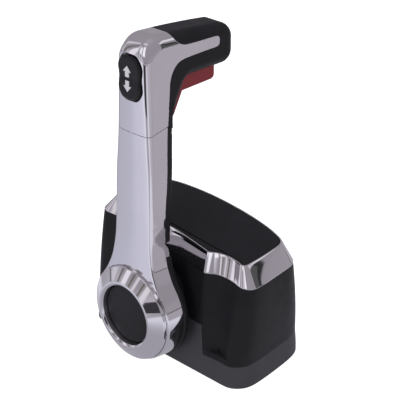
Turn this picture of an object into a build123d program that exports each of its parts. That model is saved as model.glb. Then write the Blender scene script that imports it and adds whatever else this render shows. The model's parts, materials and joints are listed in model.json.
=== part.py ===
from build123d import *
import os
from math import sqrt, sin, cos, radians, pi, atan2, degrees

# Boat throttle control, side-lever binnacle type.
# Frame: mm, +Z up, deck at Z = 0, +X aft, -X forward, lever on the -Y side.
# Origin: on the deck under the main shaft, midway across the base in Y.

# ---------------------------------------------------------------- dimensions
SHAFT_Z = 44.8            # main shaft height above the deck
SHAFT_R = 7.0
RUN_FIT = 0.04            # radial running clearance
CENTRE_X = 1.5            # middle of the housing along X

SKIRT_H = 16.4            # height of the grey base skirt
TOP_TILT = 0.08           # fall of the top towards the aft end, mm per mm
TRIM_LOW_Z = 79.3         # height of the trim band's lower edge at X = 0
TRIM_HIGH_Z = 94.1        # height of the trim band's upper edge at X = 0
WALL = 2.6                # housing wall

HUB_R = 37.0              # outside of the lever hub
HUB_BACK_Y = -52.7        # back edge of the bright hub
HUB_STEP_Y = -63.6        # seat of the bevelled ring
RING_EDGE_Y = -69.4       # outer edge of the bevelled ring
RING_CREST_Y = -75.0      # crest of the bevelled ring
RING_CREST_R = 25.6
RING_R = 34.3             # outside of the bevelled ring
CAP_R = 22.2              # throttle-only button
CAP_DOME_Y = -75.1
CAP_TRAVEL = 3.0

SEAM_Z = 178.0            # joint between lever arm and lever head
GRIP_TOP_Z = 240.9        # top of the grip at its root
GRIP_SLOPE = 0.085        # fall of the grip's top along its length
GRIP_BOTTOM_Z = 207.5
GRIP_END_Y = 18.9
GRIP_HALF_W = 14.6

ROCKER_Z = 214.8
ROCKER_PIVOT_Y = -58.4
TRIGGER_TRAVEL = 5.0

GEAR_TEETH = 18
GEAR_MODULE = 2.0
GEAR_CENTRE = GEAR_TEETH * GEAR_MODULE + 0.35
STUD_X = GEAR_CENTRE

os.makedirs("parts", exist_ok=True)


def save(part, name, shade):
    part.label = name
    part.color = Color(*shade)
    export_step(part, "parts/" + name + ".step")


# ---------------------------------------------------------------- housing plan
# Half outlines (right side) of the housing at four heights, as control points
# from the middle of the lever side round to the middle of the far side.
LEVELS = {
    "deck": [(0, -41.5), (18, -41.5), (34, -41.5), (37.5, -41.5), (41, -41.5), (45, -41.5),
             (49, -41.5), (53, -41.5), (57, -41.5), (61.5, -41.5), (66.8, -40.9), (71.7, -37.4),
             (75, -32.3), (76, -26), (75.4, -16), (74.3, -5), (72.9, 5.5), (71.2, 17),
             (67.6, 28), (60, 34.8), (48, 38.2), (33.5, 40.2), (17, 41.2), (0, 41.5)],
    "skirt": [(0, -41.3), (18, -41.3), (34, -41.3), (37.5, -41.3), (41, -41.2), (45, -41),
              (49, -40.5), (53.5, -40.1), (58, -40.2), (62, -40.6), (66, -40.3), (70.4, -36.9),
              (73.6, -32), (74.4, -26), (73.9, -16), (72.7, -5), (71.3, 6), (69.8, 17.5),
              (66.3, 28), (59, 34.2), (47, 37.6), (33, 39.5), (17, 40.6), (0, 41)],
    "low": [(0, -30.3), (18, -32.2), (34.5, -34.4), (37, -35), (39.5, -33.6), (42.5, -30.7),
            (46.5, -28.8), (51.5, -28.1), (57.5, -28.3), (62, -29.2), (66.5, -29.8), (70.3, -28.3),
            (72.7, -25.2), (73.4, -20.5), (72.8, -11.5), (71.6, -2), (70.4, 7.5), (69.4, 17),
            (65.8, 24), (59, 28), (48, 31), (34, 33.4), (17, 35), (0, 35.5)],
    "high": [(0, -27.5), (18, -29.3), (34.5, -31.4), (37, -31.9), (39.3, -30.7), (42, -28.2),
             (46, -26.3), (51, -25.4), (57, -25.5), (60.5, -26.2), (63, -26.8), (65.3, -26.4),
             (66.4, -24.5), (66.5, -21), (65.9, -12), (65, -3), (63.8, 6), (62.6, 13.5),
             (59.6, 18.6), (54, 21.7), (44, 24.6), (31, 27), (16, 28.6), (0, 29.1)],
}
LEVELS["mid"] = [((a[0] + b[0]) / 2, (a[1] + b[1]) / 2)
                 for a, b in zip(LEVELS["skirt"], LEVELS["low"])]


def smooth_half(ctrl):
    """Points of the quadratic B-spline of a mirrored control polygon, right half."""
    left = [(-x, y) for x, y in ctrl[1:2]]
    pts = [ctrl[0]]
    n = len(ctrl)
    for i in range(n - 1):
        a, b = ctrl[i], ctrl[i + 1]
        pts.append(((a[0] + b[0]) / 2, (a[1] + b[1]) / 2))
        if i + 2 < n:
            c = ctrl[i + 2]
            pts.append((a[0] / 8 + b[0] * 6 / 8 + c[0] / 8, a[1] / 8 + b[1] * 6 / 8 + c[1] / 8))
    pts.append(ctrl[-1])
    return pts


def inset_half(pts, d):
    """Move the points of a right half outline inwards by d."""
    if d == 0:
        return pts
    full = [(-pts[1][0], pts[1][1])] + pts + [(-pts[-2][0], pts[-2][1])]
    out = []
    for i in range(1, len(full) - 1):
        tx = full[i + 1][0] - full[i - 1][0]
        ty = full[i + 1][1] - full[i - 1][1]
        n = sqrt(tx * tx + ty * ty)
        out.append((full[i][0] - ty / n * d, full[i][1] + tx / n * d))
    out[0] = (0, out[0][1])
    out[-1] = (0, out[-1][1])
    return out


def level_plane(name, lift=0.0):
    if name == "deck":
        return Plane.XY.offset(lift)
    if name == "skirt":
        return Plane.XY.offset(SKIRT_H + lift)
    k = TOP_TILT / 2 if name == "mid" else TOP_TILT
    z0 = {"mid": 47.5, "low": TRIM_LOW_Z, "high": TRIM_HIGH_Z}[name] + lift
    return Plane(origin=(0, 0, z0), x_dir=(1, 0, -k), z_dir=(k, 0, 1))


def outline(name, inset, lift=0.0):
    """One closed outline of the housing as a flat face."""
    pts = inset_half(smooth_half(LEVELS[name]), inset)
    k = {"deck": 0, "skirt": 0, "mid": TOP_TILT / 2}.get(name, TOP_TILT)
    s = sqrt(1 + k * k)
    right = [((x + CENTRE_X) * s, y) for x, y in pts]
    left = [((CENTRE_X - x) * s, y) for x, y in reversed(pts)]
    with BuildSketch(level_plane(name, lift)) as flat:
        with BuildLine():
            Spline(*right, tangents=[(1, 0), (-1, 0)])
            Spline(*left, tangents=[(-1, 0), (1, 0)])
        make_face()
    return flat.sketch.face()


def cover_sections(inset, reach=0.0):
    """Sections of the tapered body between the skirt and the trim band."""
    return [outline("skirt", inset, -reach), outline("mid", inset - 1.0), outline("low", inset, reach)]


NOTCH = [(-43, SKIRT_H - 1), (43, SKIRT_H - 1), (40.3, 39.4), (-40.3, 39.4)]


# ---------------------------------------------------------------- base plate
with BuildPart() as base_plate:
    loft([outline("deck", 0), outline("skirt", 0)], ruled=True)
    # locating lip that stands inside the cover
    extrude(outline("skirt", 3.3, -2.0), amount=5.0)
    loft([outline("deck", 4.6, 4.0), outline("skirt", 4.6, 4.0)], ruled=True, mode=Mode.SUBTRACT)
    # cable outlet in the floor
    with BuildSketch(Plane.XY.offset(-1)):
        with Locations((0, 6)):
            RectangleRounded(74, 34, 8)
    extrude(amount=8, mode=Mode.SUBTRACT)
    # deck screw holes with their bosses
    with BuildSketch(Plane.XY.offset(3.5)):
        with GridLocations(108, 48, 2, 2):
            Circle(7)
    extrude(amount=3.5)
    with BuildSketch(Plane.XY.offset(-1)):
        with GridLocations(108, 48, 2, 2):
            Circle(3.3)
    extrude(amount=10, mode=Mode.SUBTRACT)
    # hole for the trim-switch wires
    with BuildSketch(Plane.XY.offset(-1)):
        with Locations((62, 5)):
            Circle(6.05)
    extrude(amount=8, mode=Mode.SUBTRACT)
    # pillars for the cover screws under the two flutes
    with BuildSketch(Plane.XY.offset(3.5)):
        with Locations((55.0, -33.2), (-52.0, -33.2)):
            Circle(5.2)
    extrude(amount=12.6)
    with BuildSketch(Plane.XY.offset(5)):
        with Locations((55.0, -33.2), (-52.0, -33.2)):
            Circle(1.75)
    extrude(amount=20, mode=Mode.SUBTRACT)
    # groove for the gasket
    extrude(outline("deck", 2.4, -1.0), amount=3.0, mode=Mode.SUBTRACT)
    extrude(outline("deck", 5.0, 0.0), amount=2.5)
    with BuildSketch(Plane.XY.offset(-1)):
        with Locations((0, 6)):
            RectangleRounded(74, 34, 8)
        with GridLocations(108, 48, 2, 2):
            Circle(3.3)
        with Locations((62, 5)):
            Circle(6.05)
    extrude(amount=6, mode=Mode.SUBTRACT)

# upstand of the base, which closes the cover's notch behind the hub
with BuildPart() as upstand:
    loft(cover_sections(0.0))
    loft(cover_sections(4.6, reach=3.0), mode=Mode.SUBTRACT)
    with BuildSketch(Plane.XZ.offset(20)):
        with BuildLine():
            Polyline(*NOTCH, close=True)
        make_face()
    extrude(amount=40, mode=Mode.INTERSECT)
with BuildPart() as base_whole:
    add(base_plate.part)
    # the lip stops either side of the cover's screw bosses
    with BuildSketch(Plane.XY.offset(SKIRT_H + 0.02)):
        with Locations((55.0, -33.2), (-52.0, -33.2)):
            Circle(7.3)
    extrude(amount=6, mode=Mode.SUBTRACT)
    add(upstand.part)
    with BuildSketch(Plane.XZ.offset(20)):
        with Locations((0, SHAFT_Z)):
            Circle(19.0)
    extrude(amount=40, mode=Mode.SUBTRACT)
save(base_whole.part, "base_plate", (0.3, 0.3, 0.31))

with BuildPart() as base_gasket:
    extrude(outline("deck", 2.6, 0.06), amount=1.9)
    extrude(outline("deck", 4.8, -1.0), amount=4.0, mode=Mode.SUBTRACT)
save(base_gasket.part, "base_gasket", (0.1, 0.1, 0.1))

# ---------------------------------------------------------------- housing cover
with BuildPart() as housing_cover:
    loft(cover_sections(0.0))
    loft(cover_sections(WALL, reach=2.0), mode=Mode.SUBTRACT)
    # screw bosses at the foot of the two flutes
    with BuildSketch(Plane.XY.offset(SKIRT_H + 0.2)):
        with Locations((55.0, -33.2), (-52.0, -33.2)):
            Circle(6.9)
    extrude(amount=6.6)
with BuildPart() as cover_limits:
    loft(cover_sections(0.0))
with BuildPart() as housing_cover_cut:
    add(housing_cover.part)
    add(cover_limits.part, mode=Mode.INTERSECT)
    # screw pockets, open upwards into the flutes
    with BuildSketch(Plane.XY.offset(SKIRT_H + 3.6)):
        with Locations((55.0, -33.2), (-52.0, -33.2)):
            SlotOverall(13.4, 9.6)
    extrude(amount=10.5, mode=Mode.SUBTRACT)
    with BuildSketch(Plane.XY.offset(SKIRT_H - 1)):
        with Locations((55.0, -33.2), (-52.0, -33.2)):
            Circle(2.2)
    extrude(amount=12, mode=Mode.SUBTRACT)
    # notch for the upstand and the hole for the bearing collar
    with BuildSketch(Plane.XZ.offset(15)):
        with BuildLine():
            Polyline((-43.15, SKIRT_H - 2), (43.15, SKIRT_H - 2), (40.45, 39.55), (-40.45, 39.55), close=True)
        make_face()
        with Locations((0, SHAFT_Z)):
            Circle(19.2)
    extrude(amount=40, mode=Mode.SUBTRACT)
save(housing_cover_cut.part, "housing_cover", (0.13, 0.13, 0.14))

# ---------------------------------------------------------------- trim band
with BuildPart() as chrome_trim:
    loft([outline("low", 0.0), outline("high", 0.0)], ruled=True)
    with BuildSketch(level_plane("low", -3.0)):
        with Locations((0, -1)):
            RectangleRounded(116, 42, 12)
    extrude(amount=25, mode=Mode.SUBTRACT)
    extrude(outline("high", 1.1, -3.0), amount=5.0, mode=Mode.SUBTRACT)
save(chrome_trim.part, "chrome_trim", (0.8, 0.8, 0.82))

with BuildPart() as top_panel:
    extrude(outline("high", 1.25, -2.95), amount=2.75)
    # locating rim under the panel
    with BuildSketch(level_plane("high", -6.0)):
        with Locations((0, -2)):
            RectangleRounded(100, 36, 8)
            RectangleRounded(95, 31, 6, mode=Mode.SUBTRACT)
    extrude(amount=3.2)
save(top_panel.part, "top_panel", (0.1, 0.1, 0.11))

with BuildPart() as cover_screws:
    for sx in (55.0, -52.0):
        with BuildSketch(Plane.XY.offset(SKIRT_H + 3.7)):
            with Locations((sx, -33.2)):
                Circle(4.0)
        extrude(amount=3.0)
        with BuildSketch(Plane.XY.offset(SKIRT_H + 5.0)):
            with Locations((sx, -33.2)):
                RegularPolygon(1.8, 6)
        extrude(amount=3.0, mode=Mode.SUBTRACT)
        with BuildSketch(Plane.XY.offset(7)):
            with Locations((sx, -33.2)):
                Circle(1.7)
        extrude(amount=SKIRT_H - 3.2)
save(cover_screws.part, "cover_screws", (0.5, 0.5, 0.52))
print("housing done")

# ---------------------------------------------------------------- round-part helpers
def disc(y0, y1, r, x=0.0, z=SHAFT_Z):
    """A private round bar along Y between y0 and y1."""
    with BuildPart() as bar:
        with BuildSketch(Plane(origin=(x, y0, z), x_dir=(1, 0, 0), z_dir=(0, 1, 0))):
            Circle(r)
        extrude(amount=y1 - y0)
    return bar.part


def block(x0, x1, y0, y1, z0, z1):
    """A private rectangular block given by its corners."""
    with BuildPart() as bar:
        with BuildSketch(Plane.XY.offset(z0)):
            with Locations(((x0 + x1) / 2, (y0 + y1) / 2)):
                Rectangle(x1 - x0, y1 - y0)
        extrude(amount=z1 - z0)
    return bar.part


def post(x, y, z0, z1, r):
    """A private round bar along Z."""
    with BuildPart() as bar:
        with BuildSketch(Plane.XY.offset(z0)):
            with Locations((x, y)):
                Circle(r)
        extrude(amount=z1 - z0)
    return bar.part


def rod_x(x0, x1, y, z, r):
    """A private round bar along X."""
    with BuildPart() as bar:
        with BuildSketch(Plane(origin=(x0, y, z), x_dir=(0, 1, 0), z_dir=(1, 0, 0))):
            Circle(r)
        extrude(amount=x1 - x0)
    return bar.part


# ---------------------------------------------------------------- bearing collar and bushes
with BuildPart() as collar_clear:
    loft(cover_sections(-0.15))
with BuildPart() as bearing_collar:
    add(disc(-46.5, -30, 23.5))
    fillet(bearing_collar.faces().sort_by(Axis.Y)[0].edges(), 1.2)
    add(collar_clear.part, mode=Mode.SUBTRACT)
    add(disc(-46.5, -19.3, 18.8))
    add(disc(-51.5, -46.5, 14.0))
    add(disc(-52, -19, 10.0), mode=Mode.SUBTRACT)
save(bearing_collar.part, "bearing_collar", (0.15, 0.15, 0.16))

with BuildPart() as shaft_bush_front:
    add(disc(-47.4, -19.3, 9.99))
    add(disc(-48, -19, SHAFT_R + RUN_FIT), mode=Mode.SUBTRACT)
save(shaft_bush_front.part, "shaft_bush_front", (0.7, 0.55, 0.3))

with BuildPart() as shaft_seal:
    add(disc(-51.4, -47.6, 9.95))
    add(disc(-52, -47, SHAFT_R + 0.06), mode=Mode.SUBTRACT)
save(shaft_seal.part, "shaft_seal", (0.1, 0.1, 0.1))

with BuildPart() as neutral_lock_ring:
    add(disc(-51.4, -47.2, 16.0))
    add(disc(-52, -46, 14.05), mode=Mode.SUBTRACT)
    add(block(-3.2, 3.2, -52, -46, SHAFT_Z + 14.6, SHAFT_Z + 20), mode=Mode.SUBTRACT)
save(neutral_lock_ring.part, "neutral_lock_ring", (0.6, 0.6, 0.62))

# ---------------------------------------------------------------- mechanism frame
with BuildPart() as mechanism_frame:
    add(block(-44, 52, -19, -16, 7.1, 64))
    add(block(-44, 52, 14, 17, 7.1, 64))
    add(block(-44, -36.5, -16, 14, 7.1, 10.1))
    add(block(46, 52, -16, 14, 7.1, 10.1))
    add(block(-62, 62, -27.5, -16, 4.0, 7.1), mode=Mode.ADD)
    add(block(-57, 57, 25.2, 27.5, 4.0, 7.1), mode=Mode.ADD)
    add(block(-44, 52, 14, 27.5, 7.1, 10.1), mode=Mode.ADD)
    add(disc(-20, -15, 10.3), mode=Mode.SUBTRACT)
    add(disc(13, 18, 10.0), mode=Mode.SUBTRACT)
    add(post(-54, -24, 3, 8, 7.2), mode=Mode.SUBTRACT)
    add(post(54, -24, 3, 8, 7.2), mode=Mode.SUBTRACT)
    add(post(-54, 24, 3, 8, 7.2), mode=Mode.SUBTRACT)
    add(post(54, 24, 3, 8, 7.2), mode=Mode.SUBTRACT)
    add(post(55.0, -33.2, 3, 30, 7.4), mode=Mode.SUBTRACT)
    add(post(-52.0, -33.2, 3, 30, 7.4), mode=Mode.SUBTRACT)
    for fx in (-36, 36):
        add(post(fx, -23.0, 3, 12, 2.1), mode=Mode.SUBTRACT)
        add(post(fx, 23.0, 3, 12, 2.1), mode=Mode.SUBTRACT)
save(mechanism_frame.part, "mechanism_frame", (0.55, 0.56, 0.58))

with BuildPart() as frame_screws:
    for fx in (-36, 36):
        add(post(fx, -23.0, 7.15, 10.0, 3.6))
        add(post(fx, -23.0, 4.05, 7.15, 2.0))
        add(post(fx, 23.0, 10.15, 13.0, 3.6))
        add(post(fx, 23.0, 4.05, 10.15, 2.0))
save(frame_screws.part, "frame_screws", (0.6, 0.6, 0.62))

with BuildPart() as shaft_bush_rear:
    add(disc(14, 17, 9.98))
    add(disc(12.9, 14, 12.0))
    add(disc(12, 18, SHAFT_R + RUN_FIT), mode=Mode.SUBTRACT)
save(shaft_bush_rear.part, "shaft_bush_rear", (0.7, 0.55, 0.3))

# ---------------------------------------------------------------- main shaft and what turns with it
with BuildPart() as main_shaft:
    add(disc(-60.5, 24.6, SHAFT_R))
    add(disc(-61, -46, 2.6), mode=Mode.SUBTRACT)
    add(block(-1.55, 1.55, -13, 10.8, SHAFT_Z + 5.2, SHAFT_Z + 8), mode=Mode.SUBTRACT)
    add(disc(22.6, 23.8, 9), mode=Mode.SUBTRACT)
    add(disc(22.6, 23.8, 5.8))
save(main_shaft.part, "main_shaft", (0.7, 0.7, 0.72))

with BuildPart() as shaft_key:
    add(block(-1.5, 1.5, -12, 10.5, SHAFT_Z + 5.3, SHAFT_Z + 8.4))
save(shaft_key.part, "shaft_key", (0.6, 0.6, 0.62))

with BuildPart() as retaining_ring:
    add(disc(22.7, 23.7, 9.6))
    add(disc(22, 24, 5.9), mode=Mode.SUBTRACT)
    add(block(-2.2, 2.2, 22, 24, SHAFT_Z - 12, SHAFT_Z - 3), mode=Mode.SUBTRACT)
save(retaining_ring.part, "retaining_ring", (0.3, 0.3, 0.32))

def gear_points(teeth, module, phase):
    """Outline of a spur gear with straight-flanked teeth and backlash."""
    r = teeth * module / 2
    ro, ri = r + 0.85 * module, r - 1.15 * module
    pts = []
    for i in range(teeth):
        a = 2 * pi * i / teeth + phase
        for da, rr in ((-0.36, ri), (-0.135, ro), (0.135, ro), (0.36, ri)):
            t = a + da * 2 * pi / teeth
            pts.append((rr * sin(t), rr * cos(t)))
    return pts


def gear(x, y0, y1, teeth, module, phase):
    """A private spur gear about a Y axis through (x, SHAFT_Z)."""
    with BuildPart() as wheel:
        with BuildSketch(Plane(origin=(x, y0, SHAFT_Z), x_dir=(1, 0, 0), z_dir=(0, 1, 0))):
            with BuildLine():
                Polyline(*gear_points(teeth, module, phase), close=True)
            make_face()
        extrude(amount=y1 - y0)
    return wheel.part


with BuildPart() as drive_gear:
    add(gear(0, -12, -6, GEAR_TEETH, GEAR_MODULE, pi / 2))
    add(disc(-6, -3.6, 12.5))
    add(disc(-13, -3, SHAFT_R + 0.02), mode=Mode.SUBTRACT)
    add(block(-1.55, 1.55, -13, -3, SHAFT_Z + 5, SHAFT_Z + 8.5), mode=Mode.SUBTRACT)
save(drive_gear.part, "drive_gear", (0.75, 0.73, 0.65))

with BuildPart() as detent_wheel:
    add(disc(-3.4, 1.0, 19.0))
    add(disc(1.0, 10.8, 12.5))
    for na in (180, 205, 155):
        nx, nz = 19.0 * cos(radians(na)), 19.0 * sin(radians(na))
        add(disc(-4, 2, 3.0, nx, SHAFT_Z + nz), mode=Mode.SUBTRACT)
    add(disc(-4, 11, SHAFT_R + 0.02), mode=Mode.SUBTRACT)
    add(block(-1.55, 1.55, -4, 11, SHAFT_Z + 5, SHAFT_Z + 8.5), mode=Mode.SUBTRACT)
save(detent_wheel.part, "detent_wheel", (0.6, 0.6, 0.62))

with BuildPart() as throttle_arm:
    add(disc(17.6, 22.4, 11.0))
    add(block(-5, 5, 19.4, 22.4, SHAFT_Z - 26, SHAFT_Z - 6))
    add(disc(19.4, 22.4, 5.0, 0, SHAFT_Z - 26))
    add(disc(22.4, 29.0, 2.5, 0, SHAFT_Z - 26))
    add(disc(17, 23, SHAFT_R + 0.02), mode=Mode.SUBTRACT)
save(throttle_arm.part, "throttle_arm", (0.5, 0.5, 0.52))

# ---------------------------------------------------------------- shift gear on its stud
with BuildPart() as shift_stud:
    add(disc(-16, -1.2, 4.0, STUD_X))
    add(disc(-5.7, -3.6, 6.2, STUD_X), mode=Mode.ADD)
save(shift_stud.part, "shift_stud", (0.6, 0.6, 0.62))

with BuildPart() as shift_gear:
    add(gear(STUD_X, -12, -6, GEAR_TEETH, GEAR_MODULE, pi / 2 + pi / GEAR_TEETH))
    add(disc(-15.5, -12.0, 7.5, STUD_X))
    add(disc(-15.5, -13.0, 5.0, STUD_X + 24 * cos(radians(-45)), SHAFT_Z + 24 * sin(radians(-45))))
    with BuildSketch(Plane(origin=(STUD_X, -15.5, SHAFT_Z), x_dir=(cos(radians(-45)), 0, sin(radians(-45))),
                           z_dir=(0, 1, 0))):
        with Locations((12, 0)):
            Rectangle(24, 9)
    extrude(amount=2.5)
    add(disc(-13.0, -3.0, 2.5, STUD_X + 24 * cos(radians(-45)), SHAFT_Z + 24 * sin(radians(-45))))
    add(disc(-16, -5.9, 4.0 + RUN_FIT, STUD_X), mode=Mode.SUBTRACT)
save(shift_gear.part, "shift_gear", (0.75, 0.73, 0.65))

# ---------------------------------------------------------------- detent, friction, switch, cables
with BuildPart() as detent_body:
    add(block(-43.9, -25, -6.2, 3.8, SHAFT_Z - 5, SHAFT_Z + 5))
    add(block(-43.9, -38, -16, -6.2, SHAFT_Z - 5, SHAFT_Z + 5))
    add(rod_x(-40, -24, -1.2, SHAFT_Z, 3.05), mode=Mode.SUBTRACT)
save(detent_body.part, "detent_body", (0.4, 0.4, 0.42))

with BuildPart() as detent_plunger:
    add(rod_x(-31, -19.6, -1.2, SHAFT_Z, 3.0))
    chamfer(detent_plunger.faces().sort_by(Axis.X)[-1].edges(), 1.6)
save(detent_plunger.part, "detent_plunger", (0.7, 0.7, 0.72))

with BuildPart() as detent_spring:
    add(rod_x(-39.9, -33.2, -1.2, SHAFT_Z, 2.6))
    add(rod_x(-41, -33, -1.2, SHAFT_Z, 1.7), mode=Mode.SUBTRACT)
save(detent_spring.part, "detent_spring", (0.6, 0.6, 0.62))

with BuildPart() as friction_pad:
    add(block(-9, 9, 2.0, 10.0, 26, SHAFT_Z - 5))
    add(disc(1, 11, 12.6), mode=Mode.SUBTRACT)
save(friction_pad.part, "friction_pad", (0.35, 0.25, 0.2))

with BuildPart() as friction_screw:
    add(post(0, 6.0, 11.0, 26.0, 3.0))
    add(post(0, 6.0, 11.0, 14.0, 5.0))
save(friction_screw.part, "friction_screw", (0.6, 0.6, 0.62))

with BuildPart() as friction_bracket:
    add(block(-13, 13, 1.0, 13.95, 17, 20))
    add(block(-13, -10, 1.0, 13.95, 20, 31))
    add(block(10, 13, 1.0, 13.95, 20, 31))
    add(post(0, 6.0, 16, 21, 3.03), mode=Mode.SUBTRACT)
save(friction_bracket.part, "friction_bracket", (0.5, 0.5, 0.52))

with BuildPart() as neutral_switch:
    add(block(-16, 4, -4.0, 4.0, SHAFT_Z + 23.5, SHAFT_Z + 33))
    add(block(-16, 4, 4.0, 16.9, SHAFT_Z + 23.5, SHAFT_Z + 26.5))
    add(block(-10, -4, -2.0, 2.0, SHAFT_Z + 20.6, SHAFT_Z + 23.5))
    add(block(-16, 4, 13.8, 18.0, SHAFT_Z + 10, SHAFT_Z + 23.6), mode=Mode.SUBTRACT)
save(neutral_switch.part, "neutral_switch", (0.2, 0.2, 0.6))

with BuildPart() as switch_bracket:
    add(block(-16, 4, 17.1, 19.1, 52, SHAFT_Z + 33))
    add(block(-16, 4, 4.1, 17.1, SHAFT_Z + 26.6, SHAFT_Z + 28.6))
    add(disc(16, 20, 12.5), mode=Mode.SUBTRACT)
save(switch_bracket.part, "switch_bracket", (0.5, 0.5, 0.52))

with BuildPart() as cable_anchor:
    add(block(-62, -45.5, -13, 14, 4.0, 7.0))
    add(block(-62, -59, -13, 14, 7.0, 30))
    add(rod_x(-63, -58, -6, 22, 3.6), mode=Mode.SUBTRACT)
    add(rod_x(-63, -58, 7, 22, 3.6), mode=Mode.SUBTRACT)
save(cable_anchor.part, "cable_anchor", (0.5, 0.5, 0.52))

with BuildPart() as cable_clamp:
    add(block(-58.9, -55.9, -12, 13, 14, 30))
    add(rod_x(-60, -55, -6, 22, 3.6), mode=Mode.SUBTRACT)
    add(rod_x(-60, -55, 7, 22, 3.6), mode=Mode.SUBTRACT)
    add(rod_x(-60, -55, 0.5, 22, 1.65), mode=Mode.SUBTRACT)
save(cable_clamp.part, "cable_clamp", (0.4, 0.4, 0.42))

with BuildPart() as clamp_screw:
    add(rod_x(-55.85, -52.8, 0.5, 22, 2.6))
    add(rod_x(-58.9, -55.85, 0.5, 22, 1.6))
save(clamp_screw.part, "clamp_screw", (0.6, 0.6, 0.62))

with BuildPart() as wire_grommet:
    add(post(62, 5, 0.6, 6.0, 6.0))
    add(post(62, 5, 4.0, 6.0, 6.9))
    add(post(62, 5, 0, 7, 3.4), mode=Mode.SUBTRACT)
save(wire_grommet.part, "wire_grommet", (0.08, 0.08, 0.08))
print("mechanism done")

# ---------------------------------------------------------------- lever arm and hub
# height, half width, front y, bright back y, crown of the front
ARM = [(SEAM_Z - 0.1, 15.8, -62.4, -45.7, 1.4), (150, 17.0, -62.8, -47.8, 1.4), (123, 18.4, -63.7, -50.5, 1.2),
       (104, 19.0, -64.1, -51.7, 0.7), (86, 19.2, -64.25, HUB_BACK_Y, 0.05)]


def arm_section(z, w, yf, yb, crown):
    """Section of the lever arm: flat back and sides, crowned front, rounded front corners."""
    with BuildSketch(Plane.XY.offset(z)) as sec:
        with BuildLine():
            Polyline((-w, yf + 2.4), (-w, yb), (w, yb), (w, yf + 2.4))
            ThreePointArc((w, yf + 2.4), (w - 0.7, yf + 0.7), (w - 2.4, yf))
            ThreePointArc((w - 2.4, yf), (0, yf - crown), (-w + 2.4, yf))
            ThreePointArc((-w + 2.4, yf), (-w + 0.7, yf + 0.7), (-w, yf + 2.4))
        make_face()
    return sec.sketch.face()


with BuildPart() as arm_column:
    loft([arm_section(*row) for row in ARM], ruled=True)

FLARE_R = 82.4
FLARE_Z = 108.0
fx = 18.9 + FLARE_R
fd = sqrt(fx * fx + (FLARE_Z - SHAFT_Z) ** 2)
tx, tz = HUB_R * fx / fd, SHAFT_Z + HUB_R * (FLARE_Z - SHAFT_Z) / fd
mid_a = 0.5 * atan2(FLARE_Z - tz, fx - tx)
mx, mz = fx - FLARE_R * cos(mid_a), FLARE_Z - FLARE_R * sin(mid_a)
with BuildPart() as hub_plate:
    with BuildSketch(Plane.XZ.offset(-HUB_BACK_Y)):
        with BuildLine():
            Line((-18.9, FLARE_Z), (18.9, FLARE_Z))
            ThreePointArc((18.9, FLARE_Z), (mx, mz), (tx, tz))
            ThreePointArc((tx, tz), (0, SHAFT_Z - HUB_R), (-tx, tz))
            ThreePointArc((-tx, tz), (-mx, mz), (-18.9, FLARE_Z))
        make_face()
    extrude(amount=64.3 + HUB_BACK_Y)

# the lower back rim of the bright hub is cut back and the black cover shows there
NOTCH_LINE = [(HUB_BACK_Y, 43.5), (-61.6, 36.8), (-57.6, 28), (-56.7, 21), (-56.7, 0)]
with BuildPart() as rim_notch:
    with BuildSketch(Plane.YZ.offset(-45)):
        with BuildLine():
            Polyline((-50, 43.5), *NOTCH_LINE, (-50, 0), close=True)
        make_face()
    extrude(amount=90)
    add(disc(-64, -49, 32.4), mode=Mode.SUBTRACT)

with BuildPart() as lever_arm:
    add(hub_plate.part)
    add(arm_column.part)
    # seat of the bevelled ring
    add(disc(HUB_STEP_Y - 3, HUB_STEP_Y, RING_R + 0.1), mode=Mode.SUBTRACT)
    # front pocket for the button, back pocket for the lock ring
    add(disc(HUB_STEP_Y - 3, -58.5, 24.5), mode=Mode.SUBTRACT)
    add(disc(-55.5, -50, 32.5), mode=Mode.SUBTRACT)
    add(disc(-60, -50, SHAFT_R + 0.02), mode=Mode.SUBTRACT)
    add(rim_notch.part, mode=Mode.SUBTRACT)
    # channel for the pull rod and the switch wires
    add(block(-4.5, 4.5, -59.2, -53.6, 66, SEAM_Z + 1), mode=Mode.SUBTRACT)
    add(block(-4.5, 4.5, -58.4, -50, 58, 84), mode=Mode.SUBTRACT)
    # dowel sockets for the head
    for dx in (-9.5, 9.5):
        add(post(dx, -54.5, SEAM_Z - 12, SEAM_Z + 1, 2.02), mode=Mode.SUBTRACT)
save(lever_arm.part, "lever_arm", (0.8, 0.8, 0.84))

with BuildPart() as rim_fill:
    add(disc(-63, -52.0, 36.4))
    with BuildSketch(Plane.YZ.offset(-45)):
        with BuildLine():
            Polyline((-50, 43.2), *[(y + 0.15, z - 0.2) for y, z in NOTCH_LINE], (-50, -0.2), close=True)
        make_face()
    extrude(amount=90, mode=Mode.INTERSECT)
    add(disc(-64, -51, 32.7), mode=Mode.SUBTRACT)
with BuildPart() as hub_back_cover:
    add(disc(-52.6, -48.6, 38.6))
    chamfer(hub_back_cover.faces().sort_by(Axis.Y)[-1].edges(), 1.2)
    add(rim_fill.part)
    add(disc(-56, -40, 24.5), mode=Mode.SUBTRACT)
    add(block(-3.6, 3.6, -56, -45, 60, 80), mode=Mode.SUBTRACT)
save(hub_back_cover.part, "hub_back_cover", (0.08, 0.08, 0.09))

with BuildPart() as hub_bezel:
    with BuildSketch(Plane.YZ):
        with BuildLine():
            Polyline((HUB_STEP_Y - 0.05, SHAFT_Z + 24.6), (HUB_STEP_Y - 0.05, SHAFT_Z + RING_R),
                     (RING_EDGE_Y, SHAFT_Z + RING_R), (RING_CREST_Y + 0.3, SHAFT_Z + RING_CREST_R + 0.6),
                     (RING_CREST_Y, SHAFT_Z + RING_CREST_R - 0.3), (RING_CREST_Y + 0.6, SHAFT_Z + 23.9),
                     (-71.4, SHAFT_Z + 22.9), (HUB_STEP_Y - 1.4, SHAFT_Z + 22.9), (HUB_STEP_Y - 1.4, SHAFT_Z + 24.6), close=True)
        make_face()
    revolve(axis=Axis((0, 0, SHAFT_Z), (0, 1, 0)))
save(hub_bezel.part, "hub_bezel", (0.82, 0.82, 0.85))

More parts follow.
